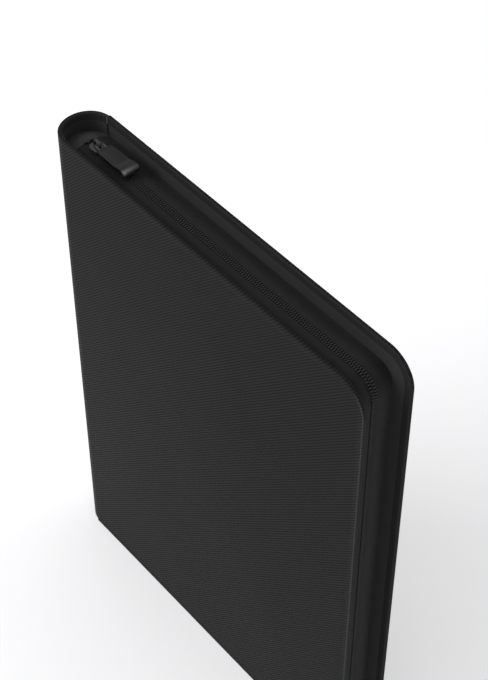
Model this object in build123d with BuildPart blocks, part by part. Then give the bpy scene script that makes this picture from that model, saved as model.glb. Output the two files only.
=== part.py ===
"""Zip-around nine-pocket trading card binder, standing upright on the bottom edges of its covers.

Frame: +Z up, the front cover faces -Y, the back cover faces +Y, the rounded spine is at -X and the
fore edge, which opens, is at +X.  The origin is the bottom centre of the closed binder.
All sizes are in millimetres.
"""

import os

from build123d import *

# ------------------------------------------------------------------------- driving dimensions
# whole binder
cover_height = 350.0
cover_width = 257.0  # from the hinge line at the spine to the fore edge
binder_thickness = 35.8  # outer face of the front cover to outer face of the back cover
spine_depth = 15.6  # how far the rounded spine bulges past the hinge lines
corner_radius = 19.5  # fore-edge corners of the covers

# layers of a cover and of the spine
skin_thickness = 0.6
board_thickness = 1.6
lining_thickness = 0.5
turn_in_width = 5.0  # skin folded over the board's edge onto its inner face
rim_round = 1.0  # rounding of the folded skin along the free edges
spine_step = 0.8  # the boards stand proud of the softer spine by this much
hinge_gap = 0.3  # from the hinge line to the solids on each side of it

# zip band, recessed between the covers on three sides
zip_depth = 10.5  # from the covers' edge down to the middle of the tape
zip_bend_radius = 14.0  # the zip's line round the fore-edge corners
tape_thickness = 0.6
tape_flat_half_width = 5.5  # flat stretch each side of the teeth
tape_valley_drop = 3.0  # the tape sinks this much where it meets a cover
tape_hem_depth = 6.0  # part of the tape sewn to a cover's inner face
coil_width = 2.0
coil_height = 1.5
coil_centre_gap = 0.9  # from the zip's centre line to a coil's inner side
stop_length = 1.2

# slider and its pull
slider_centre_offset = 10.0  # from the hinge line
slider_length = 9.0
slider_nose_half_width = 4.6
slider_tail_half_width = 4.0
slider_plate_thickness = 1.1
slider_lip_width = 0.9
slider_coil_clearance = 0.25
slider_tape_clearance = 0.4
slider_post_half_width = 0.6
slider_post_length = 3.4
slider_corner_round = 1.6
crown_length = 6.2
crown_width = 1.8
crown_wall = 0.9
crown_opening_height = 2.8
link_wire_radius = 0.5
link_length = 8.0  # pivot to far bar, middle of wire to middle of wire
link_half_width = 2.3
link_bend_radius = 1.2
pivot_offset = 1.2  # the pull's pivot lies this far behind the slider's centre
pivot_crown_gap = 0.3  # link's wire to the underside of the crown
tab_length = 27.8
tab_gap = 1.6  # from the slider's tail to the tab
tab_near_half_width = 5.3
tab_far_half_width = 5.8
tab_thickness = 2.8
tab_ridge_height = 1.1  # thumb ridge above the tab's top face
tab_ridge_length = 6.0
tab_corner_round = 2.2

# page leaves and the binding that holds them
page_count = 20
page_sheet_thickness = 0.2
page_film_thickness = 0.2
page_tail_length = 16.0  # bare film between the pivot and the pockets
page_side_clearance = 1.5  # outer leaf to a cover's lining
page_fore_clearance = 4.0  # fore edge of the longest-reaching leaf to the tape hem
page_end_clearance = 10.5  # head and tail of a leaf to the tape hem
page_root_offset = 4.2  # pivot of the outermost leaves, past the hinge line
page_root_stagger = 0.5  # each leaf's pivot stands this much past its outer neighbour's
page_margin = 3.0  # bare rim of the sheet round the pocket film
page_corner_round = 3.0
binding_tip_gap = 0.3  # end of a binding web to the leaf's pivot
binding_web_thickness = 0.25
binding_base_pitch = 0.36
binding_base_margin = 1.0
binding_base_thickness = 2.4
binding_lining_gap = 0.05

# ------------------------------------------------------------------------- derived places
overall_width = cover_width + spine_depth
hinge_x = spine_depth - overall_width / 2
fore_x = overall_width / 2
half_thickness = binder_thickness / 2
board_inset = skin_thickness + board_thickness
wall = board_inset + lining_thickness
inner_half_gap = half_thickness - wall
spine_half_width = half_thickness - spine_step

tape_z = cover_height - zip_depth
tape_inset = zip_depth + tape_valley_drop + tape_hem_depth
coil_base = tape_thickness / 2
coil_top = coil_base + coil_height

slider_x = hinge_x + slider_centre_offset
slider_tail_x = slider_x + slider_length / 2
slider_nose_x = slider_x - slider_length / 2
slider_channel_top = tape_z + coil_top + slider_coil_clearance
slider_top = slider_channel_top + slider_plate_thickness
slider_channel_bottom = tape_z - coil_base - slider_tape_clearance
pivot_x = slider_x + pivot_offset
pivot_z = slider_top + crown_opening_height - pivot_crown_gap - link_wire_radius
tab_near_x = slider_tail_x + tab_gap
tab_far_x = tab_near_x + tab_length
tab_bottom = pivot_z - tab_thickness / 2

page_thickness = page_sheet_thickness + 2 * page_film_thickness
page_span = 2 * (inner_half_gap - page_side_clearance) - page_thickness
page_pitch = page_span / (page_count - 1)
page_stagger_span = page_root_stagger * (page_count // 2 - 1)
page_height = cover_height - 2 * (tape_inset + page_end_clearance)
page_root_x = hinge_x + page_root_offset
page_length = fore_x - tape_inset - page_fore_clearance - page_root_x - page_stagger_span
spine_inner_x = hinge_x - spine_depth + wall


# ------------------------------------------------------------------------- shared outlines
def cover_slab(start_x, inset, near_y, far_y, mode=Mode.ADD):
    """One layer of a cover: square at the hinge, rounded at the fore edge, from near_y to far_y."""
    width = fore_x - inset - start_x
    with BuildSketch(Plane.XZ.offset(-near_y)) as outline:
        with Locations((start_x + width / 2, cover_height / 2)):
            Rectangle(width, cover_height - 2 * inset)
        fillet(outline.vertices().group_by(Axis.X)[-1], radius=corner_radius - inset)
    extrude(outline.sketch, amount=near_y - far_y, mode=mode)


def spine_section(outer_inset, inner_inset, low_z, high_z, mode=Mode.ADD):
    """One layer of the half-round spine between two insets from its outer surface."""
    with BuildSketch(Plane.XY.offset(low_z)) as section:
        with Locations((hinge_x, 0)):
            Ellipse(spine_depth - outer_inset, spine_half_width - outer_inset)
            Ellipse(spine_depth - inner_inset, spine_half_width - inner_inset, mode=Mode.SUBTRACT)
        with Locations((hinge_x - hinge_gap, 0)):
            Rectangle(cover_width, binder_thickness, align=(Align.MIN, Align.CENTER), mode=Mode.SUBTRACT)
    extrude(section.sketch, amount=high_z - low_z, mode=mode)


def zip_line(start_x):
    """The zip's centre line from start_x along the top, down the fore edge and back along the bottom."""
    return FilletPolyline(
        (start_x, cover_height - zip_depth),
        (fore_x - zip_depth, cover_height - zip_depth),
        (fore_x - zip_depth, zip_depth),
        (hinge_x + hinge_gap, zip_depth),
        radius=zip_bend_radius,
    )


def finish(piece, label):
    """Label a finished piece and write it under its node's name."""
    piece.label = label
    export_step(piece, f"parts/{label}.step")


os.makedirs("parts", exist_ok=True)


# ------------------------------------------------------------------------- covers
def build_cover(name, side):
    """Skin, board and lining of one cover; side is -1 for the front and +1 for the back."""
    outer_y = side * half_thickness
    board_outer_y = outer_y - side * skin_thickness
    board_inner_y = board_outer_y - side * board_thickness
    inner_y = side * inner_half_gap
    start_x = hinge_x + hinge_gap
    past_start_x = start_x - turn_in_width

    with BuildPart() as skin:
        cover_slab(start_x, 0, outer_y, inner_y)
        free_edges = skin.edges().filter_by(Axis.Y, reverse=True)
        free_edges = free_edges.filter_by(lambda edge: edge.center().X > start_x + hinge_gap)
        fillet(free_edges, radius=rim_round)
        cover_slab(past_start_x, skin_thickness, board_outer_y, board_inner_y, Mode.SUBTRACT)
        cover_slab(past_start_x, turn_in_width, board_inner_y, inner_y, Mode.SUBTRACT)
    finish(skin.part, f"{name}_skin")

    with BuildPart() as board:
        cover_slab(start_x, skin_thickness, board_outer_y, board_inner_y)
    finish(board.part, f"{name}_board")

    with BuildPart() as lining:
        cover_slab(start_x, turn_in_width, board_inner_y, inner_y)
    finish(lining.part, f"{name}_lining")


build_cover("front", -1)
build_cover("back", 1)


# ------------------------------------------------------------------------- spine
with BuildPart() as spine_skin:
    spine_section(0, wall, 0, cover_height)
    spine_section(skin_thickness, board_inset, skin_thickness, cover_height - skin_thickness, Mode.SUBTRACT)
    spine_section(board_inset, wall, turn_in_width, cover_height - turn_in_width, Mode.SUBTRACT)
finish(spine_skin.part, "spine_skin")

with BuildPart() as spine_board:
    spine_section(skin_thickness, board_inset, skin_thickness, cover_height - skin_thickness)
finish(spine_board.part, "spine_board")

with BuildPart() as spine_lining:
    spine_section(board_inset, wall, turn_in_width, cover_height - turn_in_width)
finish(spine_lining.part, "spine_lining")


# ------------------------------------------------------------------------- end gussets
def build_end_gusset(name, floor_z, hem_direction):
    """Half-round floor that closes one end of the spine, with a hem sewn to the spine's lining."""
    floor_low = floor_z - tape_thickness / 2
    floor_high = floor_z + tape_thickness / 2
    hem_start = floor_z + hem_direction * tape_thickness / 2
    hem_end = hem_start + hem_direction * tape_hem_depth
    with BuildPart() as gusset:
        with BuildSketch(Plane.XY.offset(floor_low)):
            with Locations((hinge_x, 0)):
                Ellipse(spine_depth - wall, spine_half_width - wall)
            with Locations((hinge_x - hinge_gap, 0)):
                Rectangle(cover_width, binder_thickness, align=(Align.MIN, Align.CENTER), mode=Mode.SUBTRACT)
        extrude(amount=tape_thickness)
        spine_section(wall, wall + tape_thickness, min(hem_start, hem_end), max(hem_start, hem_end))
    finish(gusset.part, name)


build_end_gusset("top_end_gusset", tape_z, -1)
build_end_gusset("bottom_end_gusset", zip_depth, 1)


# ------------------------------------------------------------------------- zip tape and teeth
def tape_plane(start_x):
    """Plane across the zip's line at its start: local x is world Y, local y is world Z."""
    return Plane(origin=(start_x, 0, tape_z), x_dir=(0, 1, 0), z_dir=(1, 0, 0))


def build_tape(name, side):
    """Half of the zip's tape with its hem, sewn all round one cover."""
    start_x = hinge_x + hinge_gap
    top = tape_thickness / 2
    valley = -tape_valley_drop
    hem_end = valley - tape_hem_depth
    outline = [
        (coil_centre_gap, top),
        (tape_flat_half_width, top),
        (inner_half_gap, valley + top),
        (inner_half_gap, hem_end),
        (inner_half_gap - tape_thickness, hem_end),
        (inner_half_gap - tape_thickness, valley - top),
        (tape_flat_half_width, -top),
        (coil_centre_gap, -top),
    ]
    with BuildPart() as tape:
        with BuildLine(Plane.XZ):
            zip_line(start_x)
        with BuildSketch(tape_plane(start_x)):
            with BuildLine():
                Polyline([(side * y, z) for y, z in outline], close=True)
            make_face()
        sweep()
    finish(tape.part, f"{name}_zip_tape")


def build_coil(name, side, start_x):
    """One row of teeth: a strip along the tape's inner edge."""
    with BuildPart() as coil:
        with BuildLine(Plane.XZ):
            zip_line(start_x)
        with BuildSketch(tape_plane(start_x)):
            with Locations((side * (coil_centre_gap + coil_width / 2), coil_base + coil_height / 2)):
                Rectangle(coil_width, coil_height)
        sweep()
    finish(coil.part, f"{name}_zip_coil")


def build_top_stop(name, side):
    """Clip on the tape's edge that stops the slider at the spine end."""
    with BuildPart() as stop:
        with BuildSketch(Plane.XY.offset(tape_z + coil_base)):
            with Locations((hinge_x + 2 * hinge_gap, side * (coil_centre_gap + coil_width / 2))):
                Rectangle(stop_length, coil_width, align=(Align.MIN, Align.CENTER))
        extrude(amount=coil_height)
    finish(stop.part, f"{name}_top_stop")


back_coil_start = hinge_x + 3 * hinge_gap + stop_length
front_coil_start = slider_tail_x + slider_coil_clearance + coil_width
build_tape("front", -1)
build_tape("back", 1)
build_coil("front", -1, front_coil_start)
build_coil("back", 1, back_coil_start)
build_top_stop("front", -1)
build_top_stop("back", 1)


# ------------------------------------------------------------------------- slider
def slider_outline():
    """Plan of a slider plate: wider at the nose, where the two rows of teeth part."""
    with BuildLine() as outline:
        Polyline(
            (slider_nose_x, slider_nose_half_width),
            (slider_x, slider_nose_half_width),
            (slider_tail_x, slider_tail_half_width),
            (slider_tail_x, -slider_tail_half_width),
            (slider_x, -slider_nose_half_width),
            (slider_nose_x, -slider_nose_half_width),
            close=True,
        )
    make_face(outline.edges())


with BuildPart() as slider_body:
    with BuildSketch(Plane.XY.offset(slider_channel_top)) as top_plate:
        slider_outline()
        fillet(top_plate.vertices().group_by(Axis.X)[0], radius=slider_corner_round)
    extrude(amount=slider_plate_thickness)
    with BuildSketch(Plane.XY.offset(slider_channel_bottom)) as bottom_plate:
        slider_outline()
        fillet(bottom_plate.vertices().group_by(Axis.X)[0], radius=slider_corner_round)
    extrude(amount=-slider_plate_thickness)
    with BuildSketch(Plane.XY.offset(tape_z + coil_base + slider_tape_clearance)) as lips:
        slider_outline()
        fillet(lips.vertices().group_by(Axis.X)[0], radius=slider_corner_round)
        with Locations((slider_x, 0)):
            Rectangle(2 * slider_length, 2 * (slider_tail_half_width - slider_lip_width), mode=Mode.SUBTRACT)
    extrude(until=Until.NEXT)
    with BuildSketch(Plane.XY.offset(slider_channel_bottom)):
        with Locations((slider_nose_x + slider_post_length / 2, 0)):
            Rectangle(slider_post_length, 2 * slider_post_half_width)
    extrude(until=Until.NEXT)
finish(slider_body.part, "slider_body")

with BuildPart() as slider_crown:
    with BuildSketch(Plane.XZ.offset(-crown_width / 2)) as arch:
        with Locations((slider_x, slider_top)):
            Rectangle(crown_length, crown_opening_height + crown_wall, align=(Align.CENTER, Align.MIN))
        fillet(arch.vertices().group_by(Axis.Y)[-1], radius=crown_wall)
        with Locations((slider_x, slider_top)):
            Rectangle(
                crown_length - 2 * crown_wall,
                crown_opening_height,
                align=(Align.CENTER, Align.MIN),
                mode=Mode.SUBTRACT,
            )
    extrude(amount=crown_width)
finish(slider_crown.part, "slider_crown")

# ------------------------------------------------------------------------- pull
with BuildPart() as pull_link:
    with BuildLine(Plane.XY.offset(pivot_z)):
        FilletPolyline(
            (pivot_x, link_half_width),
            (pivot_x + link_length, link_half_width),
            (pivot_x + link_length, -link_half_width),
            (pivot_x, -link_half_width),
            radius=link_bend_radius,
            close=True,
        )
    with BuildSketch(Plane(origin=(pivot_x, 0, pivot_z), z_dir=(0, 1, 0))):
        Circle(link_wire_radius)
    sweep()
finish(pull_link.part, "pull_link")

with BuildPart() as pull_tab:
    with BuildSketch(Plane.XZ.offset(tab_far_half_width)):
        with BuildLine():
            Polyline(
                (tab_far_x, tab_bottom + tab_thickness),
                (tab_far_x, tab_bottom),
                (tab_near_x, tab_bottom),
                (tab_near_x, tab_bottom + tab_thickness),
                (tab_far_x - tab_ridge_length, tab_bottom + tab_thickness),
            )
            ThreePointArc(
                (tab_far_x - tab_ridge_length, tab_bottom + tab_thickness),
                (tab_far_x - tab_ridge_length / 2, tab_bottom + tab_thickness + tab_ridge_height),
                (tab_far_x, tab_bottom + tab_thickness),
            )
        make_face()
    extrude(amount=-2 * tab_far_half_width)
    with BuildSketch(Plane.XY.offset(tab_bottom)) as tab_plan:
        with BuildLine():
            Polyline(
                (tab_near_x, tab_near_half_width),
                (tab_far_x, tab_far_half_width),
                (tab_far_x, -tab_far_half_width),
                (tab_near_x, -tab_near_half_width),
                close=True,
            )
        make_face()
        fillet(tab_plan.vertices(), radius=tab_corner_round)
    extrude(amount=tab_thickness + tab_ridge_height, mode=Mode.INTERSECT)
    add(pull_link.part, mode=Mode.SUBTRACT)
finish(pull_tab.part, "pull_tab")


# ------------------------------------------------------------------------- page binding
def leaf_place(number):
    """Pivot of leaf number 1 to page_count, counted from the front cover: (x, y)."""
    from_middle = number - (page_count + 1) / 2
    steps_in = (page_count - 1) / 2 - abs(from_middle)
    return page_root_x + page_root_stagger * steps_in, page_pitch * from_middle


binding_base_width = binding_base_pitch * (page_count - 1) + 2 * binding_base_margin
with BuildPart() as page_binding:
    with BuildSketch(Plane.XY.offset((cover_height - page_height) / 2)):
        with Locations((hinge_x, 0)):
            Ellipse(
                spine_depth - wall - binding_lining_gap,
                spine_half_width - wall - binding_lining_gap,
            )
        with Locations((spine_inner_x, 0)):
            Rectangle(
                binding_base_thickness,
                binding_base_width,
                align=(Align.MIN, Align.CENTER),
                mode=Mode.INTERSECT,
            )
        for number in range(1, page_count + 1):
            tip_x, tip_y = leaf_place(number)
            base_y = binding_base_pitch * (number - (page_count + 1) / 2)
            half_web = binding_web_thickness / 2
            with BuildLine():
                Polyline(
                    (spine_inner_x + binding_base_thickness / 2, base_y - half_web),
                    (tip_x - binding_tip_gap, tip_y - half_web),
                    (tip_x - binding_tip_gap, tip_y + half_web),
                    (spine_inner_x + binding_base_thickness / 2, base_y + half_web),
                    close=True,
                )
            make_face()
    extrude(amount=page_height)
finish(page_binding.part, "page_binding")


# ------------------------------------------------------------------------- page leaves
def page_slab(root_x, start_offset, end_offset, rim, near_y, far_y):
    """A flat rectangle of a leaf with rounded fore-edge corners, from near_y to far_y."""
    width = end_offset - start_offset
    height = page_height - 2 * rim
    with BuildSketch(Plane.XZ.offset(-near_y)) as sheet:
        with Locations((root_x + start_offset + width / 2, cover_height / 2)):
            Rectangle(width, height)
        fillet(sheet.vertices().group_by(Axis.X)[-1], radius=page_corner_round)
    extrude(sheet.sketch, amount=near_y - far_y)


for number in range(1, page_count + 1):
    root_x, root_y = leaf_place(number)
    half_sheet = page_sheet_thickness / 2
    film_face = half_sheet + page_film_thickness
    film_end = page_length - page_margin
    with BuildPart() as page:
        page_slab(root_x, 0, page_length, 0, root_y - half_sheet, root_y + half_sheet)
    with BuildPart() as front_film:
        page_slab(root_x, page_tail_length, film_end, page_margin, root_y - film_face, root_y - half_sheet)
    with BuildPart() as back_film:
        page_slab(root_x, page_tail_length, film_end, page_margin, root_y + half_sheet, root_y + film_face)
    leaf = Compound(children=[page.part.solid(), front_film.part.solid(), back_film.part.solid()])
    finish(leaf, f"page_{number:02d}")
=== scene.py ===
"""Looks of a zip-around trading card binder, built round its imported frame.

Every length is in metres.  The binder stands upright: +Z up, front cover towards -Y, spine at -X and
fore edge at +X.  Places are read from the frame's nodes; shapes are modelled with operators.
"""

from __future__ import annotations

import logging
import math
from collections.abc import Callable, Iterator
from contextlib import contextmanager
from dataclasses import dataclass, field
from enum import Enum

import bmesh
import bpy
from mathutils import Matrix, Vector


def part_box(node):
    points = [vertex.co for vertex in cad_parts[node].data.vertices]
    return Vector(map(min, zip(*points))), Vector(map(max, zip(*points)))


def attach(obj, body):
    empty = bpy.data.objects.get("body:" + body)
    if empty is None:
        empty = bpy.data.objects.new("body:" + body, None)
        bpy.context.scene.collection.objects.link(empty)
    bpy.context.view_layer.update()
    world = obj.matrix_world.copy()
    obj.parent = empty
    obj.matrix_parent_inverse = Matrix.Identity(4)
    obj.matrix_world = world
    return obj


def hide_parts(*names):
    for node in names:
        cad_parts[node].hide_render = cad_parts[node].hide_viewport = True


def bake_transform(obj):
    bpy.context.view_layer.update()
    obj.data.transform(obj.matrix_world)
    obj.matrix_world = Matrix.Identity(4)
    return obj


MM = 0.001
TOUCH = 1e-6  # places no further apart than this count as one
LOG = logging.getLogger("binder")

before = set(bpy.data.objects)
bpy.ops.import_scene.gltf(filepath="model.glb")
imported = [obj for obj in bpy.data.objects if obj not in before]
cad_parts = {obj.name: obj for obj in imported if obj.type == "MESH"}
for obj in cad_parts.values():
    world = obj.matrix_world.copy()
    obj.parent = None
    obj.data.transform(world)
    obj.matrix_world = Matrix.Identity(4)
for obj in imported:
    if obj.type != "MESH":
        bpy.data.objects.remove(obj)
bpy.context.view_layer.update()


class Side(Enum):
    """The binder's two halves; the value is the sign of Y outside that half."""

    FRONT = -1
    BACK = 1

    @property
    def prefix(self) -> str:
        """Start of the names of this half's nodes."""
        return self.name.lower()

    @property
    def body(self) -> str:
        """Body that this half's cover rides on."""
        return f"{self.prefix}_cover"


class Pick(Enum):
    """What an edit-mode selection works on."""

    VERT = "verts"
    EDGE = "edges"
    FACE = "faces"


# ------------------------------------------------------------------------------------ places
@dataclass(frozen=True)
class Places:
    """Places shared by the sub-assemblies, read from the frame."""

    height: float
    hinge_x: float
    fore_x: float
    half_thickness: float
    inner_half_gap: float
    spine_half_width: float
    spine_depth: float
    wall: float
    zip_depth: float
    corner_radius: float = 19.5 * MM
    zip_bend_radius: float = 14.0 * MM
    hinge_gap: float = 0.3 * MM

    @property
    def cover_width(self) -> float:
        """From the hinge line to the fore edge."""
        return self.fore_x - self.hinge_x

    @property
    def start_x(self) -> float:
        """Where covers and zip start, just past the hinge line."""
        return self.hinge_x + self.hinge_gap

    @property
    def bend_x(self) -> float:
        """Centre of the zip's bends at the fore-edge corners."""
        return self.fore_x - self.zip_depth - self.zip_bend_radius

    @property
    def tape_z(self) -> float:
        """Height of the middle of the tape along the top."""
        return self.height - self.zip_depth

    @property
    def arc_length(self) -> float:
        """Length of the zip's line round one fore-edge corner."""
        return self.zip_bend_radius * math.pi / 2

    @property
    def top_run(self) -> float:
        """Straight length of the zip's line along the top."""
        return self.bend_x - self.start_x

    @property
    def fore_run(self) -> float:
        """Straight length of the zip's line down the fore edge."""
        return self.height - 2 * (self.zip_depth + self.zip_bend_radius)

    @property
    def zip_length(self) -> float:
        """Whole length of the zip's line."""
        return 2 * self.top_run + 2 * self.arc_length + self.fore_run


def read_places() -> Places:
    """Work out the shared places from the frame's boxes.

    Returns:
        The binder's main places.
    """
    skin_low, skin_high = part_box("front_skin")
    spine_low, spine_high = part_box("spine_skin")
    _, tape_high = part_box("front_zip_tape")
    gap = Places.hinge_gap
    hinge_x = skin_low.x - gap
    depth = hinge_x - spine_low.x
    shrink = math.sqrt(1 - (gap / depth) ** 2)
    tape_half = 0.3 * MM
    return Places(
        height=skin_high.z,
        hinge_x=hinge_x,
        fore_x=skin_high.x,
        half_thickness=-skin_low.y,
        inner_half_gap=-skin_high.y,
        spine_half_width=spine_high.y / shrink,
        spine_depth=depth,
        wall=skin_high.y - skin_low.y,
        zip_depth=skin_high.z - (tape_high.z - tape_half),
    )


# ------------------------------------------------------------------------------------ modelling helpers
def deselect() -> None:
    """Leave nothing selected, so that an operator acts only on what is picked next."""
    bpy.ops.object.select_all(action="DESELECT")


def activate(piece: bpy.types.Object) -> None:
    """Select one piece alone and make it active.

    Args:
        piece: The piece that the next operators act on.
    """
    deselect()
    bpy.context.view_layer.objects.active = piece
    piece.select_set(True)


@contextmanager
def editing(piece: bpy.types.Object) -> Iterator[None]:
    """Edit mode on one piece with nothing selected inside it.

    Args:
        piece: The mesh to edit.
    """
    activate(piece)
    bpy.ops.object.mode_set(mode="EDIT")
    bpy.ops.mesh.select_all(action="DESELECT")
    yield
    bpy.ops.object.mode_set(mode="OBJECT")


def pick(piece: bpy.types.Object, kind: Pick, test: Callable[[Vector, Vector], bool]) -> int:
    """Select the elements of a piece in edit mode that pass a test of place and normal.

    Args:
        piece: The piece in edit mode.
        kind: Vertices, edges or faces.
        test: Takes an element's centre and normal.

    Returns:
        How many elements were picked.
    """
    bpy.ops.mesh.select_all(action="DESELECT")
    bpy.ops.mesh.select_mode(type=kind.name)
    mesh = bmesh.from_edit_mesh(piece.data)
    mesh.normal_update()
    count = 0
    for element in getattr(mesh, kind.value):
        if kind is Pick.VERT:
            centre, normal = element.co, element.normal
        elif kind is Pick.EDGE:
            ends = [v.co for v in element.verts]
            centre, normal = (ends[0] + ends[1]) / 2, (ends[1] - ends[0]).normalized()
        else:
            centre, normal = element.calc_center_median(), element.normal
        chosen = test(centre, normal)
        element.select_set(chosen)
        count += chosen
    mesh.select_flush_mode()
    bmesh.update_edit_mesh(piece.data)
    return count


def named(name: str) -> bpy.types.Object:
    """Give the active object and its data a name.

    Args:
        name: The piece's name.

    Returns:
        The active object.
    """
    piece = bpy.context.object
    piece.name = name
    piece.data.name = name
    return piece


def settle(piece: bpy.types.Object) -> None:
    """Move a piece's place, turn and scale into its mesh.

    Args:
        piece: The piece to settle.
    """
    activate(piece)
    bpy.ops.object.transform_apply(location=True, rotation=True, scale=True)


def apply_modifier(piece: bpy.types.Object, kind: str, **settings: object) -> None:
    """Add one modifier with its settings and apply it.

    Args:
        piece: The piece to change.
        kind: Blender's name of the modifier type.
        settings: The modifier's properties.
    """
    activate(piece)
    modifier = piece.modifiers.new(kind.title(), kind)
    for key, value in settings.items():
        setattr(modifier, key, value)
    bpy.ops.object.modifier_apply(modifier=modifier.name)


def smooth(piece: bpy.types.Object, degrees: float = 35.0) -> None:
    """Shade a piece smooth except across sharp edges.

    Args:
        piece: The piece to shade.
        degrees: Edges sharper than this stay sharp.
    """
    activate(piece)
    bpy.ops.object.shade_smooth_by_angle(angle=math.radians(degrees))


def face_outwards() -> None:
    """Turn every face of the piece in edit mode outwards."""
    bpy.ops.mesh.select_all(action="SELECT")
    bpy.ops.mesh.normals_make_consistent(inside=False)


def flip(piece: bpy.types.Object) -> None:
    """Turn every face of a piece over.

    Args:
        piece: The piece.
    """
    with editing(piece):
        bpy.ops.mesh.select_all(action="SELECT")
        bpy.ops.mesh.flip_normals()


def round_edges(width: float, segments: int) -> None:
    """Round the picked edges of the piece in edit mode.

    Args:
        width: How far the rounding reaches from each edge.
        segments: Faces across the rounding.
    """
    bpy.ops.mesh.bevel(offset=width, segments=segments, affect="EDGES", profile=0.5)


def pull_faces(x: float, y: float, z: float) -> None:
    """Extrude the picked faces of the piece in edit mode."""
    bpy.ops.mesh.extrude_region_move(TRANSFORM_OT_translate={"value": (x, y, z)})


def pull_edges(x: float, y: float, z: float) -> None:
    """Extrude the picked edges of the piece in edit mode."""
    bpy.ops.mesh.extrude_edges_move(TRANSFORM_OT_translate={"value": (x, y, z)})


def slice_across(piece: bpy.types.Object, at: Vector, normal: Vector) -> None:
    """Cut a line across a piece, so that it can bend there.

    Args:
        piece: The piece.
        at: A place on the cut.
        normal: The cut's normal.
    """
    with editing(piece):
        bpy.ops.mesh.select_all(action="SELECT")
        bpy.ops.mesh.bisect(plane_co=at, plane_no=normal)


def repeat(piece: bpy.types.Object, count: int, pitch: float) -> None:
    """Repeat a piece along +X.

    Args:
        piece: The piece.
        count: How many there are in the row.
        pitch: Distance from one to the next.
    """
    apply_modifier(
        piece,
        "ARRAY",
        count=count,
        use_relative_offset=False,
        use_constant_offset=True,
        constant_offset_displace=(pitch, 0, 0),
    )


def outward(piece: bpy.types.Object) -> None:
    """Merge doubles and turn every face outwards.

    Args:
        piece: A closed piece.
    """
    with editing(piece):
        bpy.ops.mesh.select_all(action="SELECT")
        bpy.ops.mesh.remove_doubles(threshold=TOUCH)
        face_outwards()


def box_piece(name: str, low: Vector, high: Vector) -> bpy.types.Object:
    """A cube reshaped to a box, the start of a harder shape.

    Args:
        name: The piece's name.
        low: Lowest corner.
        high: Highest corner.

    Returns:
        The new piece.
    """
    deselect()
    bpy.ops.mesh.primitive_cube_add(size=1, location=(low + high) / 2)
    piece = named(name)
    piece.scale = high - low
    settle(piece)
    return piece


def duplicate(piece: bpy.types.Object, name: str, shift: Vector) -> bpy.types.Object:
    """Copy a piece with its own mesh and move the copy.

    Args:
        piece: The modelled piece.
        name: The copy's name.
        shift: How far the copy moves.

    Returns:
        The copy.
    """
    activate(piece)
    bpy.ops.object.duplicate(linked=False)
    copy = named(name)
    bpy.ops.transform.translate(value=shift)
    settle(copy)
    return copy


def join(pieces: list[bpy.types.Object], name: str) -> bpy.types.Object:
    """Join pieces into one object of separate shells.

    Args:
        pieces: The shells.
        name: The joined piece's name.

    Returns:
        The joined piece.
    """
    activate(pieces[0])
    for other in pieces[1:]:
        other.select_set(True)
    bpy.ops.object.join()
    return named(name)


def flat_curve(name: str, points: list[tuple[float, float]]) -> bpy.types.Object:
    """A curve of straight pieces in the XY plane.

    Args:
        name: The curve's name.
        points: Its points in order.

    Returns:
        The new curve.
    """
    data = bpy.data.curves.new(name, "CURVE")
    data.dimensions = "2D"
    spline = data.splines.new("POLY")
    spline.points.add(len(points) - 1)
    for point, (x, y) in zip(spline.points, points):
        point.co = (x, y, 0, 1)
    curve = bpy.data.objects.new(name, data)
    bpy.context.collection.objects.link(curve)
    return curve


def guide_round(
    name: str, start: float, bend: float, low: float, high: float, radius: float, steps: int
) -> bpy.types.Object:
    """Guide curve along the top, round the two fore-edge corners and back along the bottom.

    Args:
        name: The curve's name.
        start: Where the top and bottom runs start.
        bend: Centre of the corner bends, in the same direction.
        low: Height of the bottom run.
        high: Height of the top run.
        radius: Radius of the bends.
        steps: Straight pieces in each bend.

    Returns:
        The guide curve, lying in the XY plane.
    """
    points = [(start, high)]
    for first, centre in ((math.pi / 2, high - radius), (0.0, low + radius)):
        for step in range(steps + 1):
            angle = first - step / steps * math.pi / 2
            points.append((bend + radius * math.cos(angle), centre + radius * math.sin(angle)))
    points.append((start, low))
    return flat_curve(name, points)


def prism(name: str, outline: list[tuple[float, float]], low: float, high: float) -> bpy.types.Object:
    """A closed upright prism on a plan outline.

    Args:
        name: The piece's name.
        outline: Corners in X and Y.
        low: Bottom height.
        high: Top height.

    Returns:
        The new piece.
    """
    piece = flat_curve(name, outline)
    piece.data.fill_mode = "BOTH"
    piece.data.extrude = (high - low) / 2
    piece.data.splines[0].use_cyclic_u = True
    activate(piece)
    bpy.ops.object.convert(target="MESH")
    piece = named(name)
    piece.location = (0, 0, (low + high) / 2)
    settle(piece)
    outward(piece)
    return piece


def stamp(piece: bpy.types.Object, name: str, rule: Callable[[Vector], tuple[float, float, float]]) -> None:
    """Store a surface coordinate on every vertex, which materials read and which poses keep.

    Args:
        piece: The finished mesh.
        name: The attribute's name.
        rule: Gives the coordinate of a place at rest.
    """
    attribute = piece.data.attributes.new(name, "FLOAT_VECTOR", "POINT")
    for vertex, item in zip(piece.data.vertices, attribute.data):
        item.vector = rule(vertex.co)


def dress(piece: bpy.types.Object, material: bpy.types.Material, slot: str) -> None:
    """Give a new piece its material and log the slot that it belongs to.

    Args:
        piece: The piece.
        material: Its finish.
        slot: The slot's name, which is only logged.
    """
    piece.data.materials.clear()
    piece.data.materials.append(material)
    LOG.info("%s: %d faces, slot %s", piece.name, len(piece.data.polygons), slot)


def line_inside(
    piece: bpy.types.Object, material: bpy.types.Material, inside: Callable[[Vector], bool]
) -> None:
    """Give the faces on a piece's inner side a second material.

    Args:
        piece: The dressed piece.
        material: The inner side's finish.
        inside: Whether a face's centre is on the inner side.
    """
    piece.data.materials.append(material)
    for face in piece.data.polygons:
        if inside(face.center):
            face.material_index = 1


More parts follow.
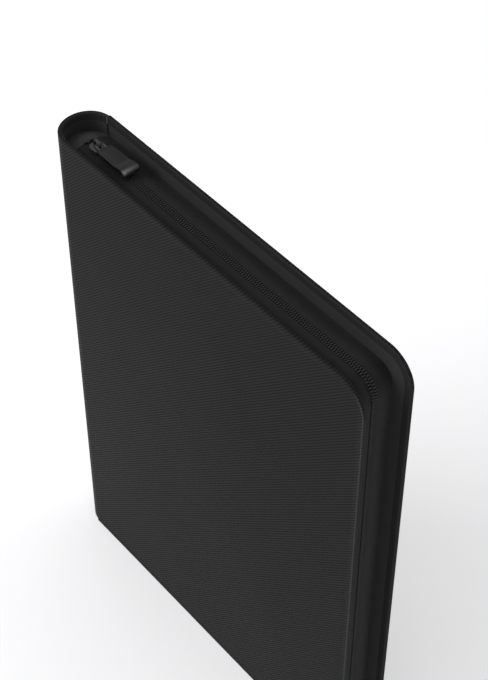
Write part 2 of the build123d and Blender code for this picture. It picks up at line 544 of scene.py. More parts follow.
def dress_node(node: str, material: bpy.types.Material) -> None:
    """Give a carried-over node its material.

    Args:
        node: The node's name.
        material: Its finish.
    """
    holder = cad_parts[node]
    for item in holder.material_slots:
        item.material = material
    LOG.info("%s: kept from the frame", node)


# ------------------------------------------------------------------------------------ the zip's line
@dataclass
class ZipLine:
    """The line that the zip follows round the covers, and the strips laid along it."""

    places: Places
    arc_steps: int = 24
    curve: bpy.types.Object | None = None

    def build(self) -> None:
        """Make the guide curve: top run, corner, fore-edge run, corner, bottom run."""
        p = self.places
        self.curve = guide_round(
            "zip_line", p.start_x, p.bend_x, p.zip_depth, p.tape_z, p.zip_bend_radius, self.arc_steps
        )

    def lay(self, piece: bpy.types.Object) -> None:
        """Lay a straight piece along the line.

        The piece is modelled along +X from 0, with its outward side at +Y and the back cover at -Z.

        Args:
            piece: The straight piece, settled at the origin.
        """
        apply_modifier(piece, "CURVE", object=self.curve, deform_axis="POS_X")
        piece.rotation_euler = (math.pi / 2, 0, 0)
        settle(piece)

    def drop(self) -> None:
        """Remove the guide curve once every strip is laid."""
        bpy.data.objects.remove(self.curve)

    def run_at(self, place: Vector) -> tuple[float, float]:
        """Distance along the line and outward offset from it at a place.

        Args:
            place: A place near the zip.

        Returns:
            The run from the start, and how far outside the line the place lies.
        """
        p = self.places
        radius = p.zip_bend_radius
        past = place.x - p.bend_x
        if past <= 0:
            run = place.x - p.start_x
            if place.z > p.height / 2:
                return run, place.z - p.tape_z
            return p.zip_length - run, p.zip_depth - place.z
        above, below = place.z - (p.tape_z - radius), p.zip_depth + radius - place.z
        if above > 0:
            return p.top_run + radius * math.atan2(past, above), math.hypot(past, above) - radius
        if below > 0:
            along = p.top_run + p.arc_length + p.fore_run
            return along + radius * math.atan2(below, past), math.hypot(past, below) - radius
        return p.top_run + p.arc_length - above, past - radius


# ------------------------------------------------------------------------------------ node sheets
@dataclass
class NodeSheet:
    """A small writer of shader nodes in one tree."""

    tree: bpy.types.NodeTree
    column: int = 0

    def add(self, kind: str, **settings: object) -> bpy.types.Node:
        """Add a node and set its properties.

        Args:
            kind: The node's type.
            settings: Properties of the node.

        Returns:
            The new node.
        """
        node = self.tree.nodes.new(kind)
        node.location = (self.column * 180, 0)
        self.column += 1
        for key, value in settings.items():
            setattr(node, key, value)
        return node

    def feed(self, source: object, target: bpy.types.NodeSocket) -> None:
        """Set a socket from a number, a colour or another socket.

        Args:
            source: A value or an output socket.
            target: The input socket.
        """
        if isinstance(source, bpy.types.NodeSocket):
            self.tree.links.new(source, target)
        else:
            target.default_value = source

    def math(self, operation: str, *values: object, clamp: bool = False) -> bpy.types.NodeSocket:
        """A math node.

        Args:
            operation: Blender's name of the operation.
            values: Numbers or sockets.
            clamp: Whether to keep the result from 0 to 1.

        Returns:
            Its output.
        """
        node = self.add("ShaderNodeMath", operation=operation, use_clamp=clamp)
        for value, socket in zip(values, node.inputs):
            self.feed(value, socket)
        return node.outputs[0]

    def mix(self, amount: object, first: object, second: object) -> bpy.types.NodeSocket:
        """Mix two colours.

        Args:
            amount: Share of the second colour.
            first: First colour.
            second: Second colour.

        Returns:
            The mixed colour.
        """
        node = self.add("ShaderNodeMix", data_type="RGBA")
        self.feed(amount, node.inputs[0])
        self.feed(first, node.inputs[6])
        self.feed(second, node.inputs[7])
        return node.outputs[2]

    def noise(self, vector: object, scale: float, detail: float = 3.0) -> bpy.types.NodeSocket:
        """A noise texture's factor.

        Args:
            vector: Where to read the noise.
            scale: Its scale.
            detail: Its detail.

        Returns:
            The factor.
        """
        node = self.add("ShaderNodeTexNoise")
        self.feed(vector, node.inputs["Vector"])
        self.feed(scale, node.inputs["Scale"])
        self.feed(detail, node.inputs["Detail"])
        return node.outputs["Fac"]

    def group(self, tree: bpy.types.NodeTree, **inputs: object) -> bpy.types.Node:
        """Place a shared effect and set its inputs.

        Args:
            tree: The effect's node group.
            inputs: Values or sockets by input name, with _ for a space.

        Returns:
            The group's node.
        """
        node = self.add("ShaderNodeGroup", node_tree=tree)
        for key, value in inputs.items():
            self.feed(value, node.inputs[key.replace("_", " ")])
        return node


def new_group(
    name: str, inputs: dict[str, tuple[str, object]], outputs: dict[str, str]
) -> tuple[NodeSheet, bpy.types.Node, bpy.types.Node]:
    """Start a shared effect.

    Args:
        name: The group's name.
        inputs: Socket type and default by name.
        outputs: Socket type by name.

    Returns:
        The sheet to draw on, the group's input node and its output node.
    """
    tree = bpy.data.node_groups.new(name, "ShaderNodeTree")
    for label, (kind, default) in inputs.items():
        socket = tree.interface.new_socket(name=label, in_out="INPUT", socket_type=kind)
        if default is not None:
            socket.default_value = default
    for label, kind in outputs.items():
        tree.interface.new_socket(name=label, in_out="OUTPUT", socket_type=kind)
    sheet = NodeSheet(tree)
    return sheet, sheet.add("NodeGroupInput"), sheet.add("NodeGroupOutput")


FLOAT = "NodeSocketFloat"
VECTOR = "NodeSocketVector"


@dataclass
class Effects:
    """Shared effects: pressed ribs, a woven surface, fine grain and a painted highlight on edges."""

    ribs: bpy.types.NodeTree = field(init=False)
    weave: bpy.types.NodeTree = field(init=False)
    grain: bpy.types.NodeTree = field(init=False)
    wear: bpy.types.NodeTree = field(init=False)

    def __post_init__(self) -> None:
        """Draw every effect once."""
        self.ribs = self.draw_ribs()
        self.weave = self.draw_weave()
        self.grain = self.draw_grain()
        self.wear = self.draw_wear()

    def draw_ribs(self) -> bpy.types.NodeTree:
        """Diagonal ribs of a pressed leather, with slightly uneven spacing and depth.

        Returns:
            The node group; Height is 1 on a rib's crest and Valley is 1 in its groove, where the leather
            paints shade.
        """
        sheet, given, out = new_group(
            "pressed_ribs",
            {"Surface": (VECTOR, None), "Pitch": (FLOAT, 0.0016), "Waviness": (FLOAT, 0.00006)},
            {"Height": FLOAT, "Valley": FLOAT},
        )
        parts = sheet.add("ShaderNodeSeparateXYZ")
        sheet.feed(given.outputs["Surface"], parts.inputs[0])
        rise = math.radians(44)
        across = sheet.math("MULTIPLY", parts.outputs[0], math.sin(rise))
        upward = sheet.math("MULTIPLY", parts.outputs[1], math.cos(rise))
        across = sheet.math("SUBTRACT", across, upward)
        drift = sheet.noise(given.outputs["Surface"], 55.0, 2.0)
        drift = sheet.math("MULTIPLY", sheet.math("SUBTRACT", drift, 0.5), given.outputs["Waviness"])
        across = sheet.math("ADD", across, drift)
        turns = sheet.math("DIVIDE", across, given.outputs["Pitch"])
        wave = sheet.math("SINE", sheet.math("MULTIPLY", turns, 2 * math.pi))
        height = sheet.math("MULTIPLY_ADD", wave, 0.5, 0.5)
        crest = sheet.math("POWER", height, 0.7)
        valley = sheet.math("POWER", sheet.math("SUBTRACT", 1.0, height), 3.0)
        sheet.feed(crest, out.inputs["Height"])
        sheet.feed(valley, out.inputs["Valley"])
        return sheet.tree

    def draw_weave(self) -> bpy.types.NodeTree:
        """Plain weave of two thread directions.

        Returns:
            The node group; Height is 1 on top of a thread and Gap is 1 between threads, where the cloth
            paints shade.
        """
        sheet, given, out = new_group(
            "plain_weave",
            {"Surface": (VECTOR, None), "Thread": (FLOAT, 0.0005)},
            {"Height": FLOAT, "Gap": FLOAT},
        )
        parts = sheet.add("ShaderNodeSeparateXYZ")
        sheet.feed(given.outputs["Surface"], parts.inputs[0])
        waves = []
        for index in range(2):
            turns = sheet.math("DIVIDE", parts.outputs[index], given.outputs["Thread"])
            waves.append(sheet.math("SINE", sheet.math("MULTIPLY", turns, math.pi)))
        crossing = sheet.math("MULTIPLY", waves[0], waves[1])
        height = sheet.math("MULTIPLY_ADD", crossing, 0.5, 0.5)
        gap = sheet.math("SUBTRACT", 1.0, sheet.math("ABSOLUTE", crossing), clamp=True)
        sheet.feed(height, out.inputs["Height"])
        sheet.feed(sheet.math("POWER", gap, 4.0), out.inputs["Gap"])
        return sheet.tree

    def draw_grain(self) -> bpy.types.NodeTree:
        """Fine grain with broad, faint unevenness.

        Returns:
            The node group; Fine and Broad run from 0 to 1.
        """
        sheet, given, out = new_group(
            "fine_grain",
            {"Surface": (VECTOR, None), "Size": (FLOAT, 0.0004)},
            {"Fine": FLOAT, "Broad": FLOAT},
        )
        scale = sheet.math("DIVIDE", 1.0, given.outputs["Size"])
        fine = sheet.add("ShaderNodeTexNoise")
        sheet.feed(given.outputs["Surface"], fine.inputs["Vector"])
        sheet.feed(scale, fine.inputs["Scale"])
        fine.inputs["Detail"].default_value = 4.0
        broad = sheet.noise(given.outputs["Surface"], 14.0, 2.0)
        sheet.feed(fine.outputs["Fac"], out.inputs["Fine"])
        sheet.feed(broad, out.inputs["Broad"])
        return sheet.tree

    def draw_wear(self) -> bpy.types.NodeTree:
        """Patchy painted highlight along an edge, stronger where the surface stands up.

        Returns:
            The node group; Mask is 1 where the painted highlight is full.
        """
        sheet, given, out = new_group(
            "edge_wear",
            {"Edge": (FLOAT, 0.0), "Fine": (FLOAT, 0.5), "Raised": (FLOAT, 1.0)},
            {"Mask": FLOAT},
        )
        patchy = sheet.math("MULTIPLY_ADD", given.outputs["Fine"], 0.9, 0.4, clamp=True)
        raised = sheet.math("MULTIPLY_ADD", given.outputs["Raised"], 0.55, 0.45)
        mask = sheet.math("MULTIPLY", given.outputs["Edge"], patchy)
        sheet.feed(sheet.math("MULTIPLY", mask, raised), out.inputs["Mask"])
        return sheet.tree


# ------------------------------------------------------------------------------------ finishes
Colour = tuple[float, float, float, float]


def grey(value: float) -> Colour:
    """A neutral colour of one lightness."""
    return (value, value, value * 1.02, 1.0)


@dataclass
class Sheet:
    """A material in the making: its sheet, its shader and its surface coordinate."""

    name: str
    attribute: str = ""
    material: bpy.types.Material = field(init=False)
    nodes: NodeSheet = field(init=False)
    shader: bpy.types.Node = field(init=False)
    surface: bpy.types.NodeSocket = field(init=False)

    def __post_init__(self) -> None:
        """Make the material and find its shader."""
        self.material = bpy.data.materials.new(self.name)
        self.material.use_nodes = True
        self.nodes = NodeSheet(self.material.node_tree)
        self.shader = self.material.node_tree.nodes["Principled BSDF"]
        if self.attribute:
            source = self.nodes.add("ShaderNodeAttribute", attribute_name=self.attribute)
            self.surface = source.outputs["Vector"]
        else:
            self.surface = self.nodes.add("ShaderNodeTexCoord").outputs["Object"]

    def set(self, **values: object) -> None:
        """Set or link the shader's sockets.

        Args:
            values: Values or sockets by socket name, with _ for a space.
        """
        for key, value in values.items():
            self.nodes.feed(value, self.shader.inputs[key.replace("_", " ")])

    def wear(self, effects: Effects, grain: bpy.types.Node, raised: object) -> bpy.types.NodeSocket:
        """Mask of the painted highlight on edges, from the piece's own highlight attribute.

        Args:
            effects: The shared effects.
            grain: The material's grain.
            raised: Where the surface stands up, from 0 to 1.

        Returns:
            The mask.
        """
        edge = self.nodes.add("ShaderNodeAttribute", attribute_name="rim_wear").outputs["Fac"]
        fine = grain.outputs["Fine"]
        return self.nodes.group(effects.wear, Edge=edge, Fine=fine, Raised=raised).outputs["Mask"]

    def bump(self, height: object, depth: float) -> None:
        """Raise the surface by a height from 0 to 1.

        Args:
            height: The height's socket.
            depth: Height in metres at 1.
        """
        node = self.nodes.add("ShaderNodeBump")
        node.inputs["Distance"].default_value = depth
        node.inputs["Strength"].default_value = 1.0
        self.nodes.feed(height, node.inputs["Height"])
        self.nodes.feed(node.outputs["Normal"], self.shader.inputs["Normal"])


@dataclass(frozen=True)
class RibbedLeather:
    """Black synthetic leather pressed with fine diagonal ribs, with painted shade in their grooves and a
    painted highlight along the rim.
    """

    name: str = "ribbed_leather"
    crest: float = 0.0162
    # painted shade: colour of the rib grooves, darker than the crests
    valley: float = 0.0066
    pitch: float = 1.62 * MM
    depth: float = 0.16 * MM
    roughness: float = 0.46
    specular: float = 0.03
    # painted highlight: colour of the light line along the rim
    worn: float = 0.072

    def material(self, effects: Effects) -> bpy.types.Material:
        """Build the finish.

        Args:
            effects: The shared effects.

        Returns:
            The material.
        """
        sheet = Sheet(self.name, "skin_run")
        n = sheet.nodes
        ribs = n.group(effects.ribs, Surface=sheet.surface, Pitch=self.pitch)
        grain = n.group(effects.grain, Surface=sheet.surface, Size=0.5 * MM)
        # painted shade: the grooves between ribs are darkened
        colour = n.mix(ribs.outputs["Valley"], grey(self.crest), grey(self.valley))
        faded = n.math("MULTIPLY_ADD", grain.outputs["Broad"], 0.35, -0.1, clamp=True)
        colour = n.mix(faded, colour, grey(self.crest * 1.25))
        # painted highlight: the rim is lightened, and made a little glossier, where the highlight attribute
        # is set
        wear = sheet.wear(effects, grain, ribs.outputs["Height"])
        colour = n.mix(wear, colour, grey(self.worn))
        rough = n.math("MULTIPLY_ADD", grain.outputs["Fine"], 0.16, self.roughness - 0.08)
        rough = n.math("MULTIPLY_ADD", ribs.outputs["Valley"], 0.15, rough)
        rough = n.math("MULTIPLY_ADD", wear, -0.1, rough)
        height = n.math("MULTIPLY_ADD", grain.outputs["Fine"], 0.18, ribs.outputs["Height"])
        sheet.set(Base_Color=colour, Roughness=rough, Specular_IOR_Level=self.specular)
        sheet.bump(height, self.depth)
        return sheet.material


@dataclass(frozen=True)
class WovenCloth:
    """Black woven nylon, as zip tape or as lining."""

    name: str
    thread: float = 0.45 * MM
    colour: float = 0.011
    depth: float = 0.05 * MM
    roughness: float = 0.78
    attribute: str = ""
    swap: bool = False

    def material(self, effects: Effects) -> bpy.types.Material:
        """Build the finish.

        Args:
            effects: The shared effects.

        Returns:
            The material.
        """
        sheet = Sheet(self.name, self.attribute)
        n = sheet.nodes
        surface = sheet.surface
        if self.swap:
            parts = n.add("ShaderNodeSeparateXYZ")
            n.feed(surface, parts.inputs[0])
            joined = n.add("ShaderNodeCombineXYZ")
            n.feed(parts.outputs[0], joined.inputs[0])
            n.feed(parts.outputs[2], joined.inputs[1])
            surface = joined.outputs[0]
        weave = n.group(effects.weave, Surface=surface, Thread=self.thread)
        grain = n.group(effects.grain, Surface=surface, Size=0.35 * MM)
        # painted shade: the gaps between threads are darkened
        colour = n.mix(weave.outputs["Gap"], grey(self.colour), grey(self.colour * 0.45))
        fluff = n.math("MULTIPLY", grain.outputs["Fine"], 0.5)
        colour = n.mix(fluff, colour, grey(self.colour * 1.7))
        height = n.math("MULTIPLY_ADD", grain.outputs["Fine"], 0.3, weave.outputs["Height"])
        rough = n.math("MULTIPLY_ADD", grain.outputs["Broad"], 0.14, self.roughness)
        sheet.set(Base_Color=colour, Roughness=rough, Specular_IOR_Level=0.15)
        sheet.set(Sheen_Weight=0.03, Sheen_Roughness=0.45)
        sheet.bump(height, self.depth)
        return sheet.material


@dataclass(frozen=True)
class Moulded:
    """A moulded or coated surface with fine grain, for plastic, rubber, thread and paint."""

    name: str
    colour: float
    roughness: float
    grain_size: float = 0.3 * MM
    depth: float = 0.012 * MM
    metallic: float = 0.0
    specular: float = 0.5
    coat: float = 0.0
    worn: float = 0.0

    def material(self, effects: Effects) -> bpy.types.Material:
        """Build the finish.

        Args:
            effects: The shared effects.

        Returns:
            The material.
        """
        sheet = Sheet(self.name)
        n = sheet.nodes
        grain = n.group(effects.grain, Surface=sheet.surface, Size=self.grain_size)
        shade = n.math("MULTIPLY", grain.outputs["Broad"], 0.6)
        colour = n.mix(shade, grey(self.colour), grey(self.colour * 1.35))
        rough = n.math("MULTIPLY_ADD", grain.outputs["Fine"], 0.18, self.roughness - 0.09)
        # painted glint: lightened where the piece's highlight attribute is set
        if self.worn:
            colour = n.mix(sheet.wear(effects, grain, 1.0), colour, grey(self.worn))
        sheet.set(Base_Color=colour, Roughness=rough, Metallic=self.metallic)
        sheet.set(Specular_IOR_Level=self.specular, Coat_Weight=self.coat, Coat_Roughness=0.12)
        sheet.bump(grain.outputs["Fine"], self.depth)
        return sheet.material


@dataclass(frozen=True)
class Board:
    """Grey board with flecks of fibre, seen only at the covers' hinge edges."""

    light: float = 0.16
    dark: float = 0.09

    def material(self, effects: Effects) -> bpy.types.Material:
        """Build the finish.

        Args:
            effects: The shared effects.

        Returns:
            The material.
        """
        sheet = Sheet("grey_board")
        n = sheet.nodes
        grain = n.group(effects.grain, Surface=sheet.surface, Size=0.9 * MM)
        colour = n.mix(grain.outputs["Fine"], grey(self.dark), grey(self.light))
        rough = n.math("MULTIPLY_ADD", grain.outputs["Broad"], 0.1, 0.82)
        sheet.set(Base_Color=colour, Roughness=rough)
        sheet.bump(grain.outputs["Fine"], 0.03 * MM)
        return sheet.material


@dataclass
class Finishes:
    """Every finish of the binder."""

    effects: Effects
    leather: bpy.types.Material = field(init=False)
    hem: bpy.types.Material = field(init=False)
    lining: bpy.types.Material = field(init=False)
    tape: bpy.types.Material = field(init=False)
    gusset: bpy.types.Material = field(init=False)
    teeth: bpy.types.Material = field(init=False)
    thread: bpy.types.Material = field(init=False)
    slider: bpy.types.Material = field(init=False)
    link: bpy.types.Material = field(init=False)
    rubber: bpy.types.Material = field(init=False)
    binding: bpy.types.Material = field(init=False)
    page_sheet: bpy.types.Material = field(init=False)
    page_film: bpy.types.Material = field(init=False)
    board: bpy.types.Material = field(init=False)

    def __post_init__(self) -> None:
        """Build every material once."""
        e = self.effects
        self.leather = RibbedLeather().material(e)
        # painted light: the turned-in leather inside the recesses is a lighter copy of the leather
        self.hem = RibbedLeather("turned_in_leather", 0.027, 0.021, depth=0.04 * MM).material(e)
        self.lining = WovenCloth("woven_lining", 0.55 * MM, 0.031, swap=True).material(e)
        self.tape = WovenCloth("zip_tape_weave", 0.5 * MM, 0.0185, attribute="zip_run").material(e)
        self.gusset = WovenCloth("gusset_weave", 0.5 * MM, 0.045).material(e)
        self.teeth = Moulded("coil_nylon", 0.026, 0.5, specular=0.2).material(e)
        self.thread = Moulded("sewing_thread", 0.009, 0.7, 0.15 * MM, 0.03 * MM, specular=0.2).material(e)
        self.slider = Moulded("slider_paint", 0.038, 0.34, metallic=0.25, specular=0.45).material(e)
        self.link = Moulded("link_paint", 0.045, 0.30, metallic=0.4, specular=0.5).material(e)
        # painted glint: the rubber's far corners take this lighter colour
        self.rubber = Moulded(
            "pull_rubber", 0.0065, 0.38, 0.25 * MM, 0.02 * MM, specular=0.25, worn=0.26
        ).material(e)
        self.binding = Moulded("binding_film", 0.03, 0.5).material(e)
        self.page_sheet = Moulded("page_sheet_black", 0.022, 0.55, 0.6 * MM, 0.02 * MM).material(e)
        self.page_film = Moulded("pocket_film", 0.030, 0.16, 6.0 * MM, 0.05 * MM, coat=0.6).material(e)
        self.board = Board().material(e)


# ------------------------------------------------------------------------------------ covers
@dataclass
class Cover:
    """One stiff cover: wrapped leather skin with its stitching, grey board and woven lining."""

    side: Side
    places: Places
    finishes: Finishes
    skin_thickness: float = 0.6 * MM
    turn_in: float = 5.0 * MM
    rim_round: float = 1.15 * MM
    seam_inset: float = 4.0 * MM
    seam_half_width: float = 0.4 * MM
    seam_depth: float = 0.06 * MM
    stitch_length: float = 2.3 * MM
    stitch_pitch: float = 3.2 * MM
    stitch_radius: float = 0.17 * MM

    def build(self) -> None:
        """Build the cover's pieces and dress its nodes."""
        self.build_skin()
        self.build_stitching()
        dress_node(f"{self.side.prefix}_board", self.finishes.board)
        dress_node(f"{self.side.prefix}_lining", self.finishes.lining)

    def build_skin(self) -> None:
        """Leather wrapped round the board: outer face with a pressed seam, rim and turned-in hem."""
        p = self.places
        sign = self.side.value
        outer_y = sign * p.half_thickness
        inner_y = sign * p.inner_half_gap
        start_x = p.start_x
        width = p.fore_x - start_x
        deselect()
        bpy.ops.mesh.primitive_plane_add(
            size=1,
            location=(start_x + width / 2, inner_y, p.height / 2),
            rotation=(-sign * math.pi / 2, 0, 0),
        )
        skin = named(f"{self.side.prefix}_cover_skin")
        skin.scale = (width, p.height, 1)
        settle(skin)
        past_hinge = start_x + 0.5 * MM
        with editing(skin):
            pick(skin, Pick.VERT, lambda at, _: at.x > past_hinge)
            bpy.ops.mesh.bevel(offset=p.corner_radius, segments=20, affect="VERTICES", profile=0.5)
            bpy.ops.mesh.select_all(action="SELECT")
            pull_faces(0, outer_y - inner_y, 0)
            self.press_seam(skin, outer_y)
            pick(skin, Pick.EDGE, lambda at, _: abs(at.y - inner_y) < TOUCH)
            bpy.ops.mesh.edge_face_add()
            pick(skin, Pick.FACE, lambda at, _: abs(at.y - inner_y) < TOUCH)
            bpy.ops.mesh.inset(thickness=self.turn_in)
            bpy.ops.mesh.delete(type="FACE")
            near_hinge = start_x + self.turn_in + TOUCH
            pick(
                skin,
                Pick.VERT,
                lambda at, _: abs(at.y - inner_y) < TOUCH and past_hinge < at.x < near_hinge,
            )
            bpy.ops.transform.translate(value=(-self.turn_in, 0, 0))
            pick(skin, Pick.FACE, lambda at, _: at.x < start_x + TOUCH)
            bpy.ops.mesh.delete(type="FACE")
            pick(skin, Pick.EDGE, lambda at, along: self.on_rim(at, along, outer_y, inner_y))
            round_edges(self.rim_round, 5)
            face_outwards()
        self.face_out(skin, outer_y)
        apply_modifier(skin, "SOLIDIFY", thickness=self.skin_thickness, offset=-1, use_even_offset=True)
        stamp(skin, "skin_run", self.skin_run)
        # painted highlight along the rim, mostly towards the fore edge
        stamp(skin, "rim_wear", self.rim_wear)
        smooth(skin, 40)
        dress(skin, self.finishes.leather, "cover_skin")
        # painted light: the inner side gets the lighter copy of the leather
        line_inside(skin, self.finishes.hem, lambda at: abs(at.y) < p.inner_half_gap + self.skin_thickness)
        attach(skin, self.side.body)
        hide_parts(f"{self.side.prefix}_skin")

    def press_seam(self, skin: bpy.types.Object, outer_y: float) -> None:
        """Press a shallow stitch groove round the three free edges of the outer face.

        Args:
            skin: The skin in edit mode.
            outer_y: Where its outer face lies.
        """
        p = self.places
        pick(skin, Pick.FACE, lambda at, _: abs(at.y - outer_y) < TOUCH)
        bpy.ops.mesh.inset(thickness=self.seam_inset - self.seam_half_width)
        bpy.ops.mesh.inset(thickness=self.seam_half_width)
        bpy.ops.mesh.region_to_loop()
        bpy.ops.transform.translate(value=(0, -self.side.value * self.seam_depth, 0))
        pick(skin, Pick.FACE, lambda at, _: abs(at.y - outer_y + self.side.value * self.seam_depth) < TOUCH)
        bpy.ops.mesh.inset(thickness=self.seam_half_width)
        bpy.ops.transform.translate(value=(0, self.side.value * self.seam_depth, 0))
        limit = p.hinge_x + self.seam_inset + 2 * self.seam_half_width + 0.1 * MM
        inside = p.hinge_x + 1 * MM
        pick(skin, Pick.VERT, lambda at, _: inside < at.x < limit and abs(at.y - outer_y) < 1 * MM)
        bpy.ops.transform.resize(
            value=(0.02, 1, 1), center_override=(p.start_x + 0.1 * MM, 0, 0)
        )

    def on_rim(self, at: Vector, along: Vector, outer_y: float, inner_y: float) -> bool:
        """Whether an edge is one of the rim's two outlines.

        Args:
            at: The edge's middle.
            along: The edge's direction.
            outer_y: Where the outer face lies.
            inner_y: Where the inner face lies.

        Returns:
            True on the outline of the outer or the inner face.
        """
        on_face = min(abs(at.y - outer_y), abs(at.y - inner_y)) < TOUCH
        if not on_face or abs(along.y) > 0.5:
            return False
        return self.edge_gap(at)[0] < 0.1 * MM

    def edge_gap(self, at: Vector) -> tuple[float, float]:
        """How far a place lies inside the cover's outline, and how much that side faces the fore edge.

        Args:
            at: The place.

        Returns:
            The distance to the nearest free edge, and the X part of that edge's outward direction.
        """
        p = self.places
        corner_x, radius = p.fore_x - p.corner_radius, p.corner_radius
        if at.x > corner_x and min(at.z, p.height - at.z) < radius:
            centre_z = radius if at.z < p.height / 2 else p.height - radius
            reach = math.hypot(at.x - corner_x, at.z - centre_z)
            return radius - reach, (at.x - corner_x) / max(reach, 1e-9)
        gap = min(p.fore_x - at.x, p.height - at.z, at.z)
        return gap, 1.0 if gap == p.fore_x - at.x else 0.0

    def rim_wear(self, at: Vector) -> tuple[float, float, float]:
        """How strong the painted highlight is along the rim, mostly towards the fore edge.

        Args:
            at: A place on the skin.

        Returns:
            The wear from 0 to 1, three times over.
        """
        gap, fore = self.edge_gap(at)
        depth = self.places.half_thickness - abs(at.y)
        if gap > self.rim_round or depth > self.rim_round:
            return (0.0, 0.0, 0.0)
        turn = math.atan2(self.rim_round - gap, self.rim_round - depth)
        peak = math.exp(-(((turn - math.radians(40)) / math.radians(26)) ** 2))
        wear = peak * (0.15 + 0.85 * smoothstep((fore - 0.45) / 0.4))
        return (wear, wear, wear)

    def face_out(self, skin: bpy.types.Object, outer_y: float) -> None:
        """Turn the open skin so that its outer face looks away from the board.

        Args:
            skin: The skin.
            outer_y: Where its outer face lies.
        """
        largest = max(skin.data.polygons, key=lambda face: face.area)
        if largest.normal.y * outer_y < 0:
            flip(skin)

    def skin_run(self, at: Vector) -> tuple[float, float, float]:
        """Surface coordinate of the wrapped leather at a place on this cover.

        Args:
            at: The place.

        Returns:
            Run round the binder from the front hinge line, height, and 0.
        """
        p = self.places
        if self.side is Side.FRONT:
            return at.x - p.hinge_x, at.z, 0.0
        return -spine_arc(p) - (at.x - p.hinge_x), at.z, 0.0

    def build_stitching(self) -> None:
        """Thread stitches lying in the pressed seam round the three free edges."""
        p = self.places
        sign = self.side.value
        inset = self.seam_inset
        radius = p.corner_radius - inset
        run = p.cover_width - inset - radius
        length = 2 * run + math.pi * radius + p.height - 2 * (inset + radius)
        count = int(length / self.stitch_pitch)
        deselect()
        bpy.ops.mesh.primitive_uv_sphere_add(segments=8, ring_count=6, radius=1)
        stitch = named(f"{self.side.prefix}_cover_stitching")
        stitch.scale = (self.stitch_length / 2, self.stitch_radius * 1.3, self.stitch_radius)
        stitch.location = (self.stitch_pitch / 2, 0, 0)
        settle(stitch)
        repeat(stitch, count, length / count)
        guide = guide_round(
            "seam_guide", p.hinge_x + 1 * MM, p.fore_x - p.corner_radius, inset, p.height - inset, radius, 16
        )
        apply_modifier(stitch, "CURVE", object=guide, deform_axis="POS_X")
        bpy.data.objects.remove(guide)
        stitch.rotation_euler = (math.pi / 2, 0, 0)
        stitch.location = (0, sign * (p.half_thickness - self.seam_depth), 0)
        settle(stitch)
        smooth(stitch, 60)
        dress(stitch, self.finishes.thread, "cover_skin")
        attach(stitch, self.side.body)


# ------------------------------------------------------------------------------------ spine
def spine_arc(p: Places) -> float:
    """Length of leather round the spine's half-ellipse.

    Args:
        p: The binder's places.

    Returns:
        The length.
    """
    a, b = p.spine_depth, p.spine_half_width
    h = ((a - b) / (a + b)) ** 2
    return math.pi * (a + b) * (1 + 3 * h / (10 + math.sqrt(4 - 3 * h))) / 2


